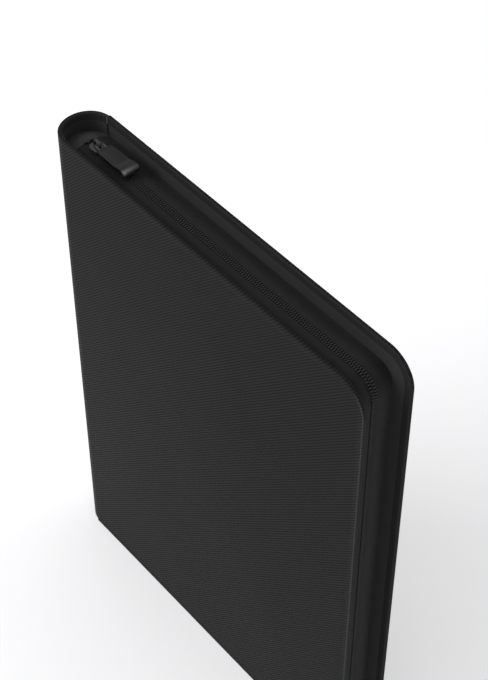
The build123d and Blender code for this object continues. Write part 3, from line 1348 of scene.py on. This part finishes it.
@dataclass
class Spine:
    """The rounded spine: wrapped skin, folds to both covers, end gussets, stiffener and lining."""

    places: Places
    finishes: Finishes
    skin_thickness: float = 0.6 * MM
    turn_in: float = 5.0 * MM
    rim_round: float = 1.1 * MM
    fold_reach: float = 2.2 * MM
    fold_overlap: float = 0.35 * MM
    fold_tuck: float = 0.012 * MM
    step_run: float = 1.6 * MM
    segments: int = 160
    fold_cuts: int = 14
    gusset_thickness: float = 0.5 * MM
    gusset_overlap: float = 1.0 * MM
    gusset_flat: float = 5.5 * MM
    gusset_drop: float = 3.0 * MM
    gusset_pucker: float = 0.12 * MM
    gusset_bend: float = 6.0 * MM

    def build(self) -> None:
        """Build the spine's pieces and dress its nodes."""
        self.build_skin()
        for side in Side:
            self.build_fold(side)
            for top in (True, False):
                self.build_gusset(side, top)
        dress_node("spine_board", self.finishes.board)
        dress_node("spine_lining", self.finishes.lining)

    def skin_run(self, at: Vector) -> tuple[float, float, float]:
        """Surface coordinate of the wrapped leather round the spine.

        Args:
            at: A place on the spine or its folds.

        Returns:
            Run round the binder from the front hinge line, height, and 0.
        """
        p = self.places
        if at.x > p.hinge_x:
            run = at.x - p.hinge_x if at.y < 0 else -spine_arc(p) - (at.x - p.hinge_x)
            return run, at.z, 0.0
        angle = math.atan2((p.hinge_x - at.x) / p.spine_depth, -at.y / p.spine_half_width)
        return -spine_arc(p) * angle / math.pi, at.z, 0.0

    def build_skin(self) -> None:
        """Half-round leather shell with rounded rims and hems turned in at both ends."""
        p = self.places
        deselect()
        bpy.ops.mesh.primitive_cylinder_add(
            vertices=self.segments,
            radius=1,
            depth=p.height,
            end_fill_type="NOTHING",
            location=(p.hinge_x, 0, p.height / 2),
        )
        skin = named("spine_wrapped_skin")
        skin.scale = (p.spine_depth, p.spine_half_width, 1)
        settle(skin)
        inner = (1 - p.wall / p.spine_depth, 1 - p.wall / p.spine_half_width, 1)
        with editing(skin):
            for end, down in ((p.height, -1), (0.0, 1)):
                centre = (p.hinge_x, 0, end)
                pick(skin, Pick.EDGE, lambda at, _, z=end: abs(at.z - z) < TOUCH)
                pull_edges(0, 0, 0)
                bpy.ops.transform.resize(value=inner, center_override=centre)
                pull_edges(0, 0, down * self.turn_in)
            bpy.ops.mesh.select_all(action="SELECT")
            bpy.ops.mesh.bisect(
                plane_co=(p.hinge_x - self.fold_reach, 0, 0), plane_no=(1, 0, 0), clear_outer=True
            )
            ends = (0.0, p.height)
            pick(
                skin,
                Pick.EDGE,
                lambda at, along: min(abs(at.z - z) for z in ends) < TOUCH and self.runs_round(at, along),
            )
            round_edges(self.rim_round, 5)
            face_outwards()
        outermost = min(skin.data.polygons, key=lambda face: face.center.x)
        if outermost.normal.x > 0:
            flip(skin)
        apply_modifier(skin, "SOLIDIFY", thickness=self.skin_thickness, offset=-1, use_even_offset=True)
        stamp(skin, "skin_run", self.skin_run)
        smooth(skin, 40)
        dress(skin, self.finishes.leather, "cover_skin")
        # painted light: the inner wall gets the lighter copy of the leather
        line_inside(skin, self.finishes.hem, self.inside_wall)
        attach(skin, "spine")
        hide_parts("spine_skin")

    def inside_wall(self, at: Vector) -> bool:
        """Whether a place lies on the inner half of the spine's wall.

        Args:
            at: The place.

        Returns:
            True inside.
        """
        p = self.places
        across, along = (at.x - p.hinge_x) / p.spine_depth, at.y / p.spine_half_width
        return math.hypot(across, along) < 1 - 0.75 * p.wall / p.spine_half_width

    def runs_round(self, at: Vector, along: Vector) -> bool:
        """Whether a rim edge runs round the spine and not across its wall.

        Args:
            at: The edge's middle.
            along: Its direction.

        Returns:
            True for an edge that follows the outline.
        """
        p = self.places
        radial = Vector(((at.x - p.hinge_x) / p.spine_depth**2, at.y / p.spine_half_width**2, 0))
        return abs(along.dot(radial.normalized())) < 0.7 and abs(along.z) < 0.5

    def fold_section(self, x: float) -> tuple[float, float]:
        """Inner and outer half-width of the fold at a distance past the hinge line.

        Args:
            x: Distance from the hinge line towards the fore edge.

        Returns:
            The lining's and the skin's distance from the binder's middle plane.
        """
        p = self.places
        ease = smoothstep((p.hinge_gap - x) / self.step_run)
        depth = min(x, 0.0)
        round_outer = p.spine_half_width * math.sqrt(1 - (depth / p.spine_depth) ** 2)
        inner_half = p.spine_half_width - p.wall
        round_inner = inner_half * math.sqrt(1 - (depth / (p.spine_depth - p.wall)) ** 2)
        inner_ease = smoothstep((p.hinge_gap - x) / (1.5 * self.step_run))
        outer = p.half_thickness * (1 - ease) + round_outer * ease
        inner = p.inner_half_gap * (1 - inner_ease) + round_inner * inner_ease
        return inner, outer

    def build_fold(self, side: Side) -> None:
        """Leather fold that joins the spine to one cover, cut across so that it can bend.

        Args:
            side: The cover it joins.
        """
        p = self.places
        sign = side.value
        near, far = p.hinge_gap + self.fold_overlap, -self.fold_reach - self.fold_overlap
        edges = sorted((sign * p.inner_half_gap, sign * p.half_thickness))
        fold = box_piece(
            f"{side.prefix}_hinge_fold",
            Vector((p.hinge_x + far, edges[0], 0)),
            Vector((p.hinge_x + near, edges[1], p.height)),
        )
        with editing(fold):
            pick(fold, Pick.EDGE, lambda _, along: abs(along.x) > 0.9)
            round_edges(self.rim_round, 5)
        for cut in range(1, self.fold_cuts):
            x = p.hinge_x + far + cut / self.fold_cuts * (near - far)
            slice_across(fold, Vector((x, 0, 0)), Vector((1, 0, 0)))
        for vertex in fold.data.vertices:
            inner, outer = self.fold_section(vertex.co.x - p.hinge_x)
            share = (abs(vertex.co.y) - p.inner_half_gap) / p.wall
            vertex.co.y = sign * (inner + share * (outer - inner) - self.fold_tuck)
        stamp(fold, "skin_run", self.skin_run)
        smooth(fold, 50)
        dress(fold, self.finishes.leather, "cover_skin")
        # painted light: the inner side gets the lighter copy of the leather
        line_inside(fold, self.finishes.hem, lambda at: abs(at.y) < p.inner_half_gap + self.skin_thickness)
        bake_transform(fold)

    def build_gusset(self, side: Side, top: bool) -> None:
        """Half of the floor that closes one end of the spine, cut into strips so that it can bend.

        Args:
            side: The cover whose tape it meets.
            top: Whether it closes the top end.
        """
        p = self.places
        sign = side.value
        a = p.spine_depth - p.wall
        b = p.spine_half_width - p.wall
        place = "top" if top else "bottom"
        level = p.tape_z if top else p.zip_depth
        up = 1 if top else -1
        over, half = self.gusset_overlap, self.gusset_thickness / 2
        arc = [
            (p.hinge_x - a * math.sin(t), sign * b * math.cos(t))
            for t in (step / 20 * math.pi / 2 for step in range(21))
        ]
        outline = [(p.hinge_x + over, 0.0), (p.hinge_x + over, sign * b), *arc]
        floor = prism(f"{place}_{side.prefix}_gusset", outline, -half, half)
        with editing(floor):
            bpy.ops.mesh.select_all(action="SELECT")
            bpy.ops.mesh.quads_convert_to_tris()
        for cut in range(1, 9):
            slice_across(floor, Vector((p.hinge_x + over - cut / 9 * (a + over), 0, 0)), Vector((1, 0, 0)))
        for cut in range(1, 8):
            slice_across(floor, Vector((0, sign * cut / 8 * b, 0)), Vector((0, 1, 0)))
        flat = self.gusset_flat
        for vertex in floor.data.vertices:
            x, y = vertex.co.x - p.hinge_x, abs(vertex.co.y)
            reach = math.hypot(min(x, 0) / a, y / b)
            side_drop = smoothstep((y - flat) / (p.inner_half_gap - flat)) * self.gusset_drop
            end_drop = smoothstep((reach - 0.45) / 0.6) * self.gusset_drop
            lower = max(side_drop, end_drop) if x < 0 else side_drop
            pucker = self.gusset_pucker * math.sin(y / (1.7 * MM)) * math.cos(x / (2.1 * MM))
            vertex.co.z = level + up * (vertex.co.z - lower + pucker - 0.04 * MM)
        if not top:
            with editing(floor):
                face_outwards()
        smooth(floor, 50)
        dress(floor, self.finishes.gusset, "zip_tape")
        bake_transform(floor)
        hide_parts(f"{place}_end_gusset")


def smoothstep(value: float) -> float:
    """A smooth ramp from 0 to 1."""
    value = min(1.0, max(0.0, value))
    return value * value * (3 - 2 * value)


# ------------------------------------------------------------------------------------ zip
@dataclass
class Zip:
    """Two halves of tape and two rows of coil teeth, recessed between the covers."""

    places: Places
    zip_line: ZipLine
    finishes: Finishes
    tape_thickness: float = 0.45 * MM
    flat_half_width: float = 5.5 * MM
    valley_drop: float = 3.0 * MM
    hem_depth: float = 6.0 * MM
    edge_gap: float = 0.2 * MM
    slack_height: float = 0.28 * MM
    slack_ramp: float = 3.0 * MM
    tooth_pitch: float = 1.7 * MM
    tooth_reach: float = 2.45 * MM
    tooth_overlap: float = 0.3 * MM
    tooth_height: float = 1.0 * MM
    back_row_start: float = 2.0 * MM
    cuts: int = 420

    def build(self) -> None:
        """Build both halves."""
        for side in Side:
            self.build_tape(side)
            self.build_teeth(side)

    def profile(self) -> list[tuple[float, float]]:
        """Half of the tape's section: distance from the centre line and height above the line.

        Returns:
            The section's points from the teeth to the hem's end.
        """
        wall = self.places.inner_half_gap - 0.05 * MM
        section = [(self.edge_gap, 0.0), (2.6 * MM, 0.0), (3.4 * MM, 0.05 * MM), (4.4 * MM, 0.0)]
        for step in range(9):
            y = self.flat_half_width + step / 8 * (wall - self.flat_half_width)
            share = (y - self.flat_half_width) / (wall - self.flat_half_width)
            section.append((y, -self.valley_drop * smoothstep(share * 0.92 + 0.04)))
        section.append((wall, -self.valley_drop - 0.9 * MM))
        section.append((wall, -self.valley_drop - self.hem_depth / 2))
        section.append((wall, -self.valley_drop - self.hem_depth))
        return section

    def build_tape(self, side: Side) -> None:
        """Lay one half of the tape along the zip's line.

        Args:
            side: The cover that it is sewn to.
        """
        section = self.profile()
        length = self.places.zip_length
        deselect()
        bpy.ops.mesh.primitive_plane_add(size=1)
        tape = named(f"{side.prefix}_tape_half")
        with editing(tape):
            pick(tape, Pick.EDGE, lambda at, _: at.y > 0.4)
            bpy.ops.mesh.select_all(action="INVERT")
            bpy.ops.mesh.delete(type="EDGE_FACE")
            bpy.ops.mesh.select_all(action="SELECT")
            bpy.ops.transform.resize(value=(length, 0, 0))
            y, z = section[0]
            bpy.ops.transform.translate(value=(length / 2, z, -side.value * y))
            bpy.ops.mesh.subdivide(number_cuts=self.cuts)
            for (y0, z0), (y1, z1) in zip(section, section[1:]):
                pull_edges(0, z1 - z0, -side.value * (y1 - y0))
        self.ruffle(tape, side)
        self.zip_line.lay(tape)
        highest = max(tape.data.polygons, key=lambda face: face.center.z)
        if highest.normal.z < 0:
            flip(tape)
        apply_modifier(tape, "SOLIDIFY", thickness=self.tape_thickness, offset=-1)
        stamp(tape, "zip_run", self.tape_run)
        smooth(tape, 60)
        dress(tape, self.finishes.tape, "zip_tape")
        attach(tape, side.body)
        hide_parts(f"{side.prefix}_zip_tape")

    def ruffle(self, tape: bpy.types.Object, side: Side) -> None:
        """Let the tape's slack wander a little along its length.

        Args:
            tape: The straight tape.
            side: The cover it is sewn to, which sets the phase.
        """
        flat = self.flat_half_width
        for vertex in tape.data.vertices:
            across = abs(vertex.co.z)
            if across > self.places.inner_half_gap - 0.2 * MM:
                continue
            to_wall = self.places.inner_half_gap - across
            slack = smoothstep((across - flat) / self.slack_ramp) * smoothstep(to_wall / self.slack_ramp)
            run = vertex.co.x / MM
            wave = math.sin(run / 19 + side.value) + 0.6 * math.sin(run / 7.3 + 2 * side.value)
            vertex.co.y += self.slack_height * slack * wave

    def tape_run(self, at: Vector) -> tuple[float, float, float]:
        """Surface coordinate along and across the tape."""
        run, outside = self.zip_line.run_at(at)
        return run, abs(at.y) - outside, 0.0

    def build_teeth(self, side: Side) -> None:
        """Lay one row of coil teeth along the zip's line.

        Args:
            side: The half that carries the row.
        """
        low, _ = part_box(f"{side.prefix}_zip_coil")
        p = self.places
        start = front_coil_start() - p.start_x if side is Side.FRONT else self.back_row_start
        first = math.ceil(start / self.tooth_pitch) * self.tooth_pitch
        if side is Side.BACK:
            first += self.tooth_pitch / 2
        count = int((p.zip_length - first - self.tooth_pitch) / self.tooth_pitch)
        deselect()
        bpy.ops.mesh.primitive_cube_add(size=1)
        tooth = named(f"{side.prefix}_coil_teeth")
        half = self.tooth_pitch * 0.34
        near = -self.tooth_overlap
        with editing(tooth):
            bpy.ops.mesh.select_all(action="SELECT")
            bpy.ops.transform.resize(value=(2 * half, self.tooth_height, self.tooth_reach - near))
            bpy.ops.mesh.subdivide(number_cuts=1)
            pick(tooth, Pick.VERT, lambda at, _: abs(abs(at.z) - (self.tooth_reach - near) / 2) < TOUCH)
            bpy.ops.transform.resize(value=(0.8, 0.62, 1), center_override=(0, -self.tooth_height / 4, 0))
            pick(tooth, Pick.VERT, lambda at, _: at.y > self.tooth_height / 4 and abs(at.x) > half / 2)
            bpy.ops.transform.resize(value=(0.72, 0.9, 1), center_override=(0, 0, 0))
            tip = side.value * (self.tooth_reach - near) / 2
            pick(tooth, Pick.VERT, lambda at, _: abs(at.z - tip) < TOUCH)
            bpy.ops.transform.resize(value=(0.6, 1, 1), center_override=(0, 0, 0))
        middle = (self.tooth_reach + near) / 2
        tooth.location = (first, self.tooth_height / 2 - 0.05 * MM, -side.value * middle)
        settle(tooth)
        apply_modifier(tooth, "SUBSURF", levels=1, render_levels=1)
        repeat(tooth, count, self.tooth_pitch)
        self.zip_line.lay(tooth)
        smooth(tooth, 80)
        dress(tooth, self.finishes.teeth, "zip_teeth")
        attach(tooth, side.body)
        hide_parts(f"{side.prefix}_zip_coil")
        LOG.info("%s row: %d teeth from x %.4f", side.prefix, count, low.x)


def front_coil_start(clearance: float = 2.2 * MM) -> float:
    """Where the front row of teeth starts, behind the slider."""
    _, slider_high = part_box("slider_body")
    return slider_high.x + clearance


# ------------------------------------------------------------------------------------ slider and pull
@dataclass
class Slider:
    """The zip's slider with its crown, and the pull that hangs on it."""

    places: Places
    finishes: Finishes
    plate_thickness: float = 1.1 * MM
    nose_round: float = 3.6 * MM
    tail_round: float = 0.9 * MM
    tail_taper: float = 0.82
    lip_half_gap: float = 3.95 * MM
    lip_half_thickness: float = 0.35 * MM
    lip_height: float = 1.2 * MM
    post_start: float = 0.3 * MM
    post_end: float = 3.4 * MM
    post_half_width: float = 0.6 * MM
    crown_wall: float = 0.9 * MM
    crown_steps: int = 10
    ridge_height: float = 1.1 * MM

    def build(self) -> None:
        """Build the slider, then its pull."""
        self.build_body()
        self.build_crown()
        self.build_tab()
        dress_node("pull_link", self.finishes.link)
        for side in Side:
            dress_node(f"{side.prefix}_top_stop", self.finishes.teeth)

    def plate(self, name: str, low_z: float, high_z: float, shrink: float) -> bpy.types.Object:
        """One of the slider's two plates: round at the nose, narrower at the tail.

        Args:
            name: The plate's name.
            low_z: Its underside.
            high_z: Its top.
            shrink: How far its outline stays inside the body's.

        Returns:
            The plate.
        """
        low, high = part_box("slider_body")
        plate = box_piece(
            name,
            Vector((low.x + shrink, low.y + shrink, low_z)),
            Vector((high.x - shrink, high.y - shrink, high_z)),
        )
        centre = Vector(((low.x + high.x) / 2, 0, 0))
        with editing(plate):
            pick(plate, Pick.VERT, lambda at, _: at.x > centre.x)
            bpy.ops.transform.resize(value=(1, self.tail_taper, 1), center_override=centre)
            pick(plate, Pick.EDGE, lambda at, along: abs(along.z) > 0.9 and at.x < centre.x)
            round_edges(self.nose_round, 10)
            tail_x = high.x - shrink - 0.1 * MM
            pick(plate, Pick.EDGE, lambda at, along: abs(along.z) > 0.9 and at.x > tail_x)
            round_edges(self.tail_round, 4)
        return plate

    def build_body(self) -> None:
        """Top and bottom plates with side lips, and the post's stubs above and below the teeth."""
        low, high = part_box("slider_body")
        thick = self.plate_thickness
        top = self.plate("slider_top", high.z - thick, high.z, 0.0)
        with editing(top):
            pick(top, Pick.FACE, lambda _, normal: normal.z > 0.9)
            round_edges(0.45 * MM, 3)
        bottom = self.plate("slider_bottom", low.z, low.z + thick, 0.15 * MM)
        under = high.z - thick
        lips = []
        for sign in (-1, 1):
            middle = sign * self.lip_half_gap
            lip = box_piece(
                "slider_lip",
                Vector((low.x + 2.6 * MM, middle - self.lip_half_thickness, under - self.lip_height)),
                Vector((high.x - 0.5 * MM, middle + self.lip_half_thickness, under + 0.3 * MM)),
            )
            with editing(lip):
                pick(lip, Pick.VERT, lambda at, _: at.x > (low.x + high.x) / 2)
                bpy.ops.transform.translate(value=(0, -sign * 0.55 * MM, 0))
                bpy.ops.mesh.select_all(action="SELECT")
                round_edges(0.15 * MM, 2)
            lips.append(lip)
        stubs = []
        teeth_top, tape_under = self.places.tape_z + 1.15 * MM, self.places.tape_z - 0.6 * MM
        for stub_low, stub_high in ((teeth_top, high.z - thick / 2), (low.z + thick / 2, tape_under)):
            stub = box_piece(
                "slider_post",
                Vector((low.x + self.post_start, -self.post_half_width, stub_low)),
                Vector((low.x + self.post_end, self.post_half_width, stub_high)),
            )
            with editing(stub):
                pick(stub, Pick.EDGE, lambda _, along: abs(along.z) > 0.9)
                round_edges(0.45 * MM, 4)
            stubs.append(stub)
        body = join([top, bottom, *lips, *stubs], "slider_casting")
        smooth(body, 40)
        dress(body, self.finishes.slider, "zip_metal")
        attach(body, "slider")
        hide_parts("slider_body")

    def build_crown(self) -> None:
        """Arched crown that holds the pull's link, bent over from a bar."""
        low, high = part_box("slider_crown")
        width = high.y - low.y
        wall = self.crown_wall
        deselect()
        bpy.ops.mesh.primitive_cube_add(size=1)
        crown = named("slider_bail")
        crown.scale = (wall, width, wall)
        crown.location = (low.x + wall / 2, 0, low.z + wall / 2)
        settle(crown)
        span = high.x - low.x - wall
        rise = high.z - low.z - wall
        straight = 0.35
        with editing(crown):
            pick(crown, Pick.FACE, lambda at, normal: normal.z > 0.9)
            pull_faces(0, 0, rise * straight)
            steps = self.crown_steps
            for step in range(steps):
                before = math.pi * step / steps
                after = math.pi * (step + 1) / steps
                across = span / 2 * (math.cos(before) - math.cos(after))
                upward = rise * (1 - straight) * (math.sin(after) - math.sin(before))
                pull_faces(across, 0, upward)
                bpy.ops.transform.rotate(
                    value=-math.pi / steps, orient_axis="Y", center_override=self.picked_centre(crown)
                )
            pull_faces(0, 0, -rise * straight - wall / 2)
            face_outwards()
            pick(crown, Pick.EDGE, lambda at, _: abs(abs(at.y) - width / 2) < TOUCH)
            round_edges(0.22 * MM, 2)
        smooth(crown, 45)
        dress(crown, self.finishes.link, "zip_metal")
        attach(crown, "slider")
        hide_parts("slider_crown")

    def picked_centre(self, piece: bpy.types.Object) -> Vector:
        """Middle of what is picked in edit mode.

        Args:
            piece: The piece in edit mode.

        Returns:
            The mean place of the picked vertices.
        """
        mesh = bmesh.from_edit_mesh(piece.data)
        picked = [v.co.copy() for v in mesh.verts if v.select]
        return sum(picked, Vector()) / len(picked)

    def build_tab(self) -> None:
        """Moulded rubber tab: narrow at the link, wide and thick with a thumb ridge at its end."""
        low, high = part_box("pull_tab")
        ridge = self.ridge_height
        top = high.z - ridge
        length = high.x - low.x
        tab = box_piece("pull_grip", low, Vector((high.x, high.y, top)))
        with editing(tab):
            pick(tab, Pick.VERT, lambda at, _: at.x < (low.x + high.x) / 2)
            bpy.ops.transform.resize(value=(1, 0.91, 1), center_override=(low.x, 0, 0))
            pick(tab, Pick.EDGE, lambda at, along: abs(along.z) > 0.9)
            round_edges(2.2 * MM, 7)
        for share in (0.1, 0.2, 0.35, 0.5, 0.62, 0.7, 0.76, 0.82, 0.88, 0.94):
            slice_across(tab, Vector((low.x + share * length, 0, 0)), Vector((1, 0, 0)))
        with editing(tab):
            pick(tab, Pick.EDGE, lambda at, along: at.z > top - TOUCH and self.on_outline(tab, along, at))
            round_edges(0.75 * MM, 4)
            pick(tab, Pick.EDGE, lambda at, along: at.z < low.z + TOUCH and self.on_outline(tab, along, at))
            round_edges(0.5 * MM, 3)
        self.hollow_top(tab, low, high, top)
        for vertex in tab.data.vertices:
            share = (vertex.co.x - low.x) / length
            above = (vertex.co.z - low.z) / (top - low.z)
            swell = smoothstep((share - 0.66) / 0.14) * smoothstep((1.02 - share) / 0.1)
            near_thin = 0.22 * smoothstep((0.3 - share) / 0.3)
            vertex.co.z += above * (ridge * swell - near_thin * (top - low.z))
        smooth(tab, 50)
        # painted glint at the tab's far corners
        stamp(tab, "rim_wear", self.corner_wear)
        dress(tab, self.finishes.rubber, "pull_rubber")
        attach(tab, "pull")
        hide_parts("pull_tab")

    def corner_wear(self, at: Vector) -> tuple[float, float, float]:
        """How strong the painted glint is at the tab's far corners, strongest at the front one.

        Args:
            at: A place on the tab.

        Returns:
            The wear from 0 to 1, three times over.
        """
        low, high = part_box("pull_tab")
        wear = 0.0
        for y, share in ((low.y, 1.0), (high.y, 0.25)):
            corner = Vector((high.x - 0.9 * MM, y * 0.86, high.z - 0.8 * MM))
            wear += share * math.exp(-(((at - corner).length / (1.4 * MM)) ** 2))
        return (wear, wear, wear)

    def hollow_top(self, tab: bpy.types.Object, low: Vector, high: Vector, top: float) -> None:
        """Sink a shallow thumb panel into the tab's top face.

        Args:
            tab: The tab, before its far end swells.
            low: Lowest corner of the tab.
            high: Highest corner of the tab.
            top: Height of its top face.
        """
        with editing(tab):
            ridge_x = low.x + 0.7 * (high.x - low.x)
            pick(tab, Pick.FACE, lambda at, normal: normal.z > 0.99 and at.z > top - TOUCH and at.x < ridge_x)
            bpy.ops.mesh.inset(thickness=1.0 * MM)
            bpy.ops.mesh.inset(thickness=0.45 * MM)
            bpy.ops.transform.translate(value=(0, 0, -0.2 * MM))

    def on_outline(self, tab: bpy.types.Object, along: Vector, at: Vector) -> bool:
        """Whether an edge of the tab lies on its outline, not on a cut across it.

        Args:
            tab: The tab; not used.
            along: The edge's direction.
            at: The edge's middle.

        Returns:
            True on the outline.
        """
        low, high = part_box("pull_tab")
        if abs(along.z) > 0.5:
            return False
        across = abs(along.y) > 0.999
        at_end = at.x < low.x + 1e-5 or at.x > high.x - 1e-5
        return at_end or not across


# ------------------------------------------------------------------------------------ pages
@dataclass
class Pages:
    """Twenty leaves of nine pockets a side, and the binding that holds them."""

    finishes: Finishes
    count: int = 20
    columns: int = 3
    rows: int = 3
    tail: float = 16.0 * MM
    rim: float = 3.0 * MM
    weld: float = 2.2 * MM
    slope: float = 1.1 * MM
    film: float = 0.2 * MM
    sheet: float = 0.2 * MM
    corner: float = 3.0 * MM

    def build(self) -> None:
        """Model one leaf, then copy it to every leaf's place."""
        low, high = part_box("page_01")
        sheet = self.model_sheet(low, high)
        films = self.model_films(low, high)
        for number in range(1, self.count + 1):
            node = f"page_{number:02d}"
            here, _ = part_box(node)
            shift = here - low
            for master, kind, material in (
                (sheet, "sheet", self.finishes.page_sheet),
                (films, "pockets", self.finishes.page_film),
            ):
                piece = duplicate(master, f"leaf_{number:02d}_{kind}", shift)
                dress(piece, material, "page_film")
                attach(piece, f"leaf_{number:02d}")
                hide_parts(node)
        for master in (sheet, films):
            bpy.data.objects.remove(master)
        dress_node("page_binding", self.finishes.binding)

    def model_sheet(self, low: Vector, high: Vector) -> bpy.types.Object:
        """The leaf's black sheet with its bare tail and rounded fore-edge corners.

        Args:
            low: Lowest corner of the leaf.
            high: Highest corner of the leaf.

        Returns:
            The master sheet.
        """
        middle = (low.y + high.y) / 2
        half = Vector((0, self.sheet / 2, 0))
        sheet = box_piece(
            "leaf_sheet", Vector((low.x, middle, low.z)) - half, Vector((high.x, middle, high.z)) + half
        )
        with editing(sheet):
            pick(sheet, Pick.EDGE, lambda at, along: abs(along.y) > 0.9 and at.x > low.x + 1e-4)
            round_edges(self.corner, 6)
        smooth(sheet, 40)
        return sheet

    def model_films(self, low: Vector, high: Vector) -> bpy.types.Object:
        """Nine slightly pillowed pocket films on each face, with weld lines between.

        Args:
            low: Lowest corner of the leaf.
            high: Highest corner of the leaf.

        Returns:
            The master films.
        """
        left, right = low.x + self.tail, high.x - self.rim
        bottom, top = low.z + self.rim, high.z - self.rim
        step_x = (right - left + self.weld) / self.columns
        step_z = (top - bottom + self.weld) / self.rows
        middle = (low.y + high.y) / 2
        films = []
        for face in (-1, 1):
            root_y = middle + face * self.sheet / 2
            for column in range(self.columns):
                for row in range(self.rows):
                    near = Vector((left + column * step_x, root_y, bottom + row * step_z))
                    far = near + Vector((step_x - self.weld, face * self.film, step_z - self.weld))
                    films.append(self.model_pocket(near, far, face))
        joined = join(films, "leaf_films")
        smooth(joined, 30)
        return joined

    def model_pocket(self, near: Vector, far: Vector, face: int) -> bpy.types.Object:
        """One pocket film with a sloped weld round it and an open slit along one side.

        Args:
            near: Corner on the sheet.
            far: Opposite corner on the film's outer face.
            face: Which face of the leaf, -1 or 1.

        Returns:
            The pocket film.
        """
        low = Vector(map(min, near, far))
        high = Vector(map(max, near, far))
        pocket = box_piece("pocket", low, high)
        with editing(pocket):
            pick(pocket, Pick.FACE, lambda at, normal: normal.y * face > 0.9)
            bpy.ops.mesh.inset(thickness=self.slope)
            raised = near.y + face * TOUCH
            pick(
                pocket,
                Pick.VERT,
                lambda at, _: self.on_border(at, low, high) and (at.y - raised) * face > 0,
            )
            bpy.ops.transform.translate(value=(0, -face * self.film * 0.65, 0))
        return pocket

    def on_border(self, at: Vector, low: Vector, high: Vector) -> bool:
        """Whether a place lies on the outline of a pocket film."""
        return min(at.x - low.x, high.x - at.x, at.z - low.z, high.z - at.z) < TOUCH


# ------------------------------------------------------------------------------------ stage
@dataclass
class Studio:
    """Pale floor, soft light and a camera above the front cover's fore edge."""

    places: Places
    camera_place: tuple[float, float, float] = (653.7 * MM, -404.7 * MM, 973.8 * MM)
    look: tuple[float, float, float] = (-0.53585, 0.44279, -0.71884)
    lens: float = 90.84
    floor_size: float = 30.0
    floor_shade: float = 0.9
    floor_glow: float = 0.26
    surroundings: float = 0.62

    def build(self) -> None:
        """Set the floor, the lights and the camera."""
        self.build_floor()
        self.build_lights()
        self.build_camera()

    def build_floor(self) -> None:
        """Large pale floor with a faint unevenness."""
        deselect()
        bpy.ops.mesh.primitive_plane_add(size=self.floor_size, location=(0, 0, 0))
        floor = named("studio_floor")
        sheet = Sheet("pale_floor")
        shade = sheet.nodes.noise(sheet.surface, 3.0, 2.0)
        colour = sheet.nodes.mix(shade, grey(self.floor_shade - 0.02), grey(self.floor_shade))
        sheet.set(Base_Color=colour, Roughness=0.9, Specular_IOR_Level=0.1)
        sheet.set(Emission_Color=(1, 1, 1, 1), Emission_Strength=self.floor_glow)
        floor.data.materials.append(sheet.material)

    def build_lights(self) -> None:
        """Bright even surroundings, seen as bright as the far floor, a large soft key and a weak fill."""
        world = bpy.data.worlds.new("studio_world")
        world.use_nodes = True
        tree = world.node_tree
        around, seen = tree.nodes["Background"], tree.nodes.new("ShaderNodeBackground")
        far_floor = self.floor_shade * self.surroundings + self.floor_glow
        for background, strength in ((around, self.surroundings), (seen, far_floor)):
            background.inputs["Color"].default_value = (1, 1, 1, 1)
            background.inputs["Strength"].default_value = strength
        choice = tree.nodes.new("ShaderNodeMixShader")
        path = tree.nodes.new("ShaderNodeLightPath")
        tree.links.new(path.outputs["Is Camera Ray"], choice.inputs["Fac"])
        tree.links.new(around.outputs["Background"], choice.inputs[1])
        tree.links.new(seen.outputs["Background"], choice.inputs[2])
        tree.links.new(choice.outputs["Shader"], tree.nodes["World Output"].inputs["Surface"])
        bpy.context.scene.world = world
        self.area_light("soft_key", place=(-0.9, -1.5, 1.5), size=1.3, power=24.0)
        self.area_light("back_fill", place=(0.5, 1.8, 1.2), size=1.4, power=3.0)
        bpy.context.scene.view_settings.view_transform = "Standard"

    def area_light(self, name: str, place: tuple[float, float, float], size: float, power: float) -> None:
        """One square area light that faces the binder's middle.

        Args:
            name: The light's name.
            place: Where it hangs.
            size: Its side.
            power: Its power in watts.
        """
        data = bpy.data.lights.new(name, "AREA")
        data.size = size
        data.energy = power
        light = bpy.data.objects.new(name, data)
        light.location = place
        aim = Vector((0, 0, self.places.height / 2)) - Vector(place)
        light.rotation_euler = aim.to_track_quat("-Z", "Y").to_euler()
        bpy.context.collection.objects.link(light)

    def build_camera(self) -> None:
        """Camera above and in front of the fore edge, looking down at the head of the spine."""
        p = self.places
        data = bpy.data.cameras.new("camera")
        data.lens = self.lens
        data.sensor_width = 36
        camera = bpy.data.objects.new("camera", data)
        x, y, z = self.camera_place
        camera.location = (p.hinge_x + x, y - p.half_thickness, z)
        camera.rotation_mode = "QUATERNION"
        camera.rotation_quaternion = Vector(self.look).to_track_quat("-Z", "Y")
        bpy.context.collection.objects.link(camera)
        bpy.context.scene.camera = camera


def main() -> None:
    """Build the binder's pieces in order, then the studio."""
    logging.basicConfig(level=logging.INFO, format="%(name)s %(message)s")
    places = read_places()
    LOG.info("places: %s", places)
    finishes = Finishes(Effects())
    zip_line = ZipLine(places)
    zip_line.build()
    for side in Side:
        Cover(side, places, finishes).build()
    Spine(places, finishes).build()
    Zip(places, zip_line, finishes).build()
    zip_line.drop()
    Slider(places, finishes).build()
    Pages(finishes).build()
    Studio(places).build()


if __name__ == "__main__":
    main()
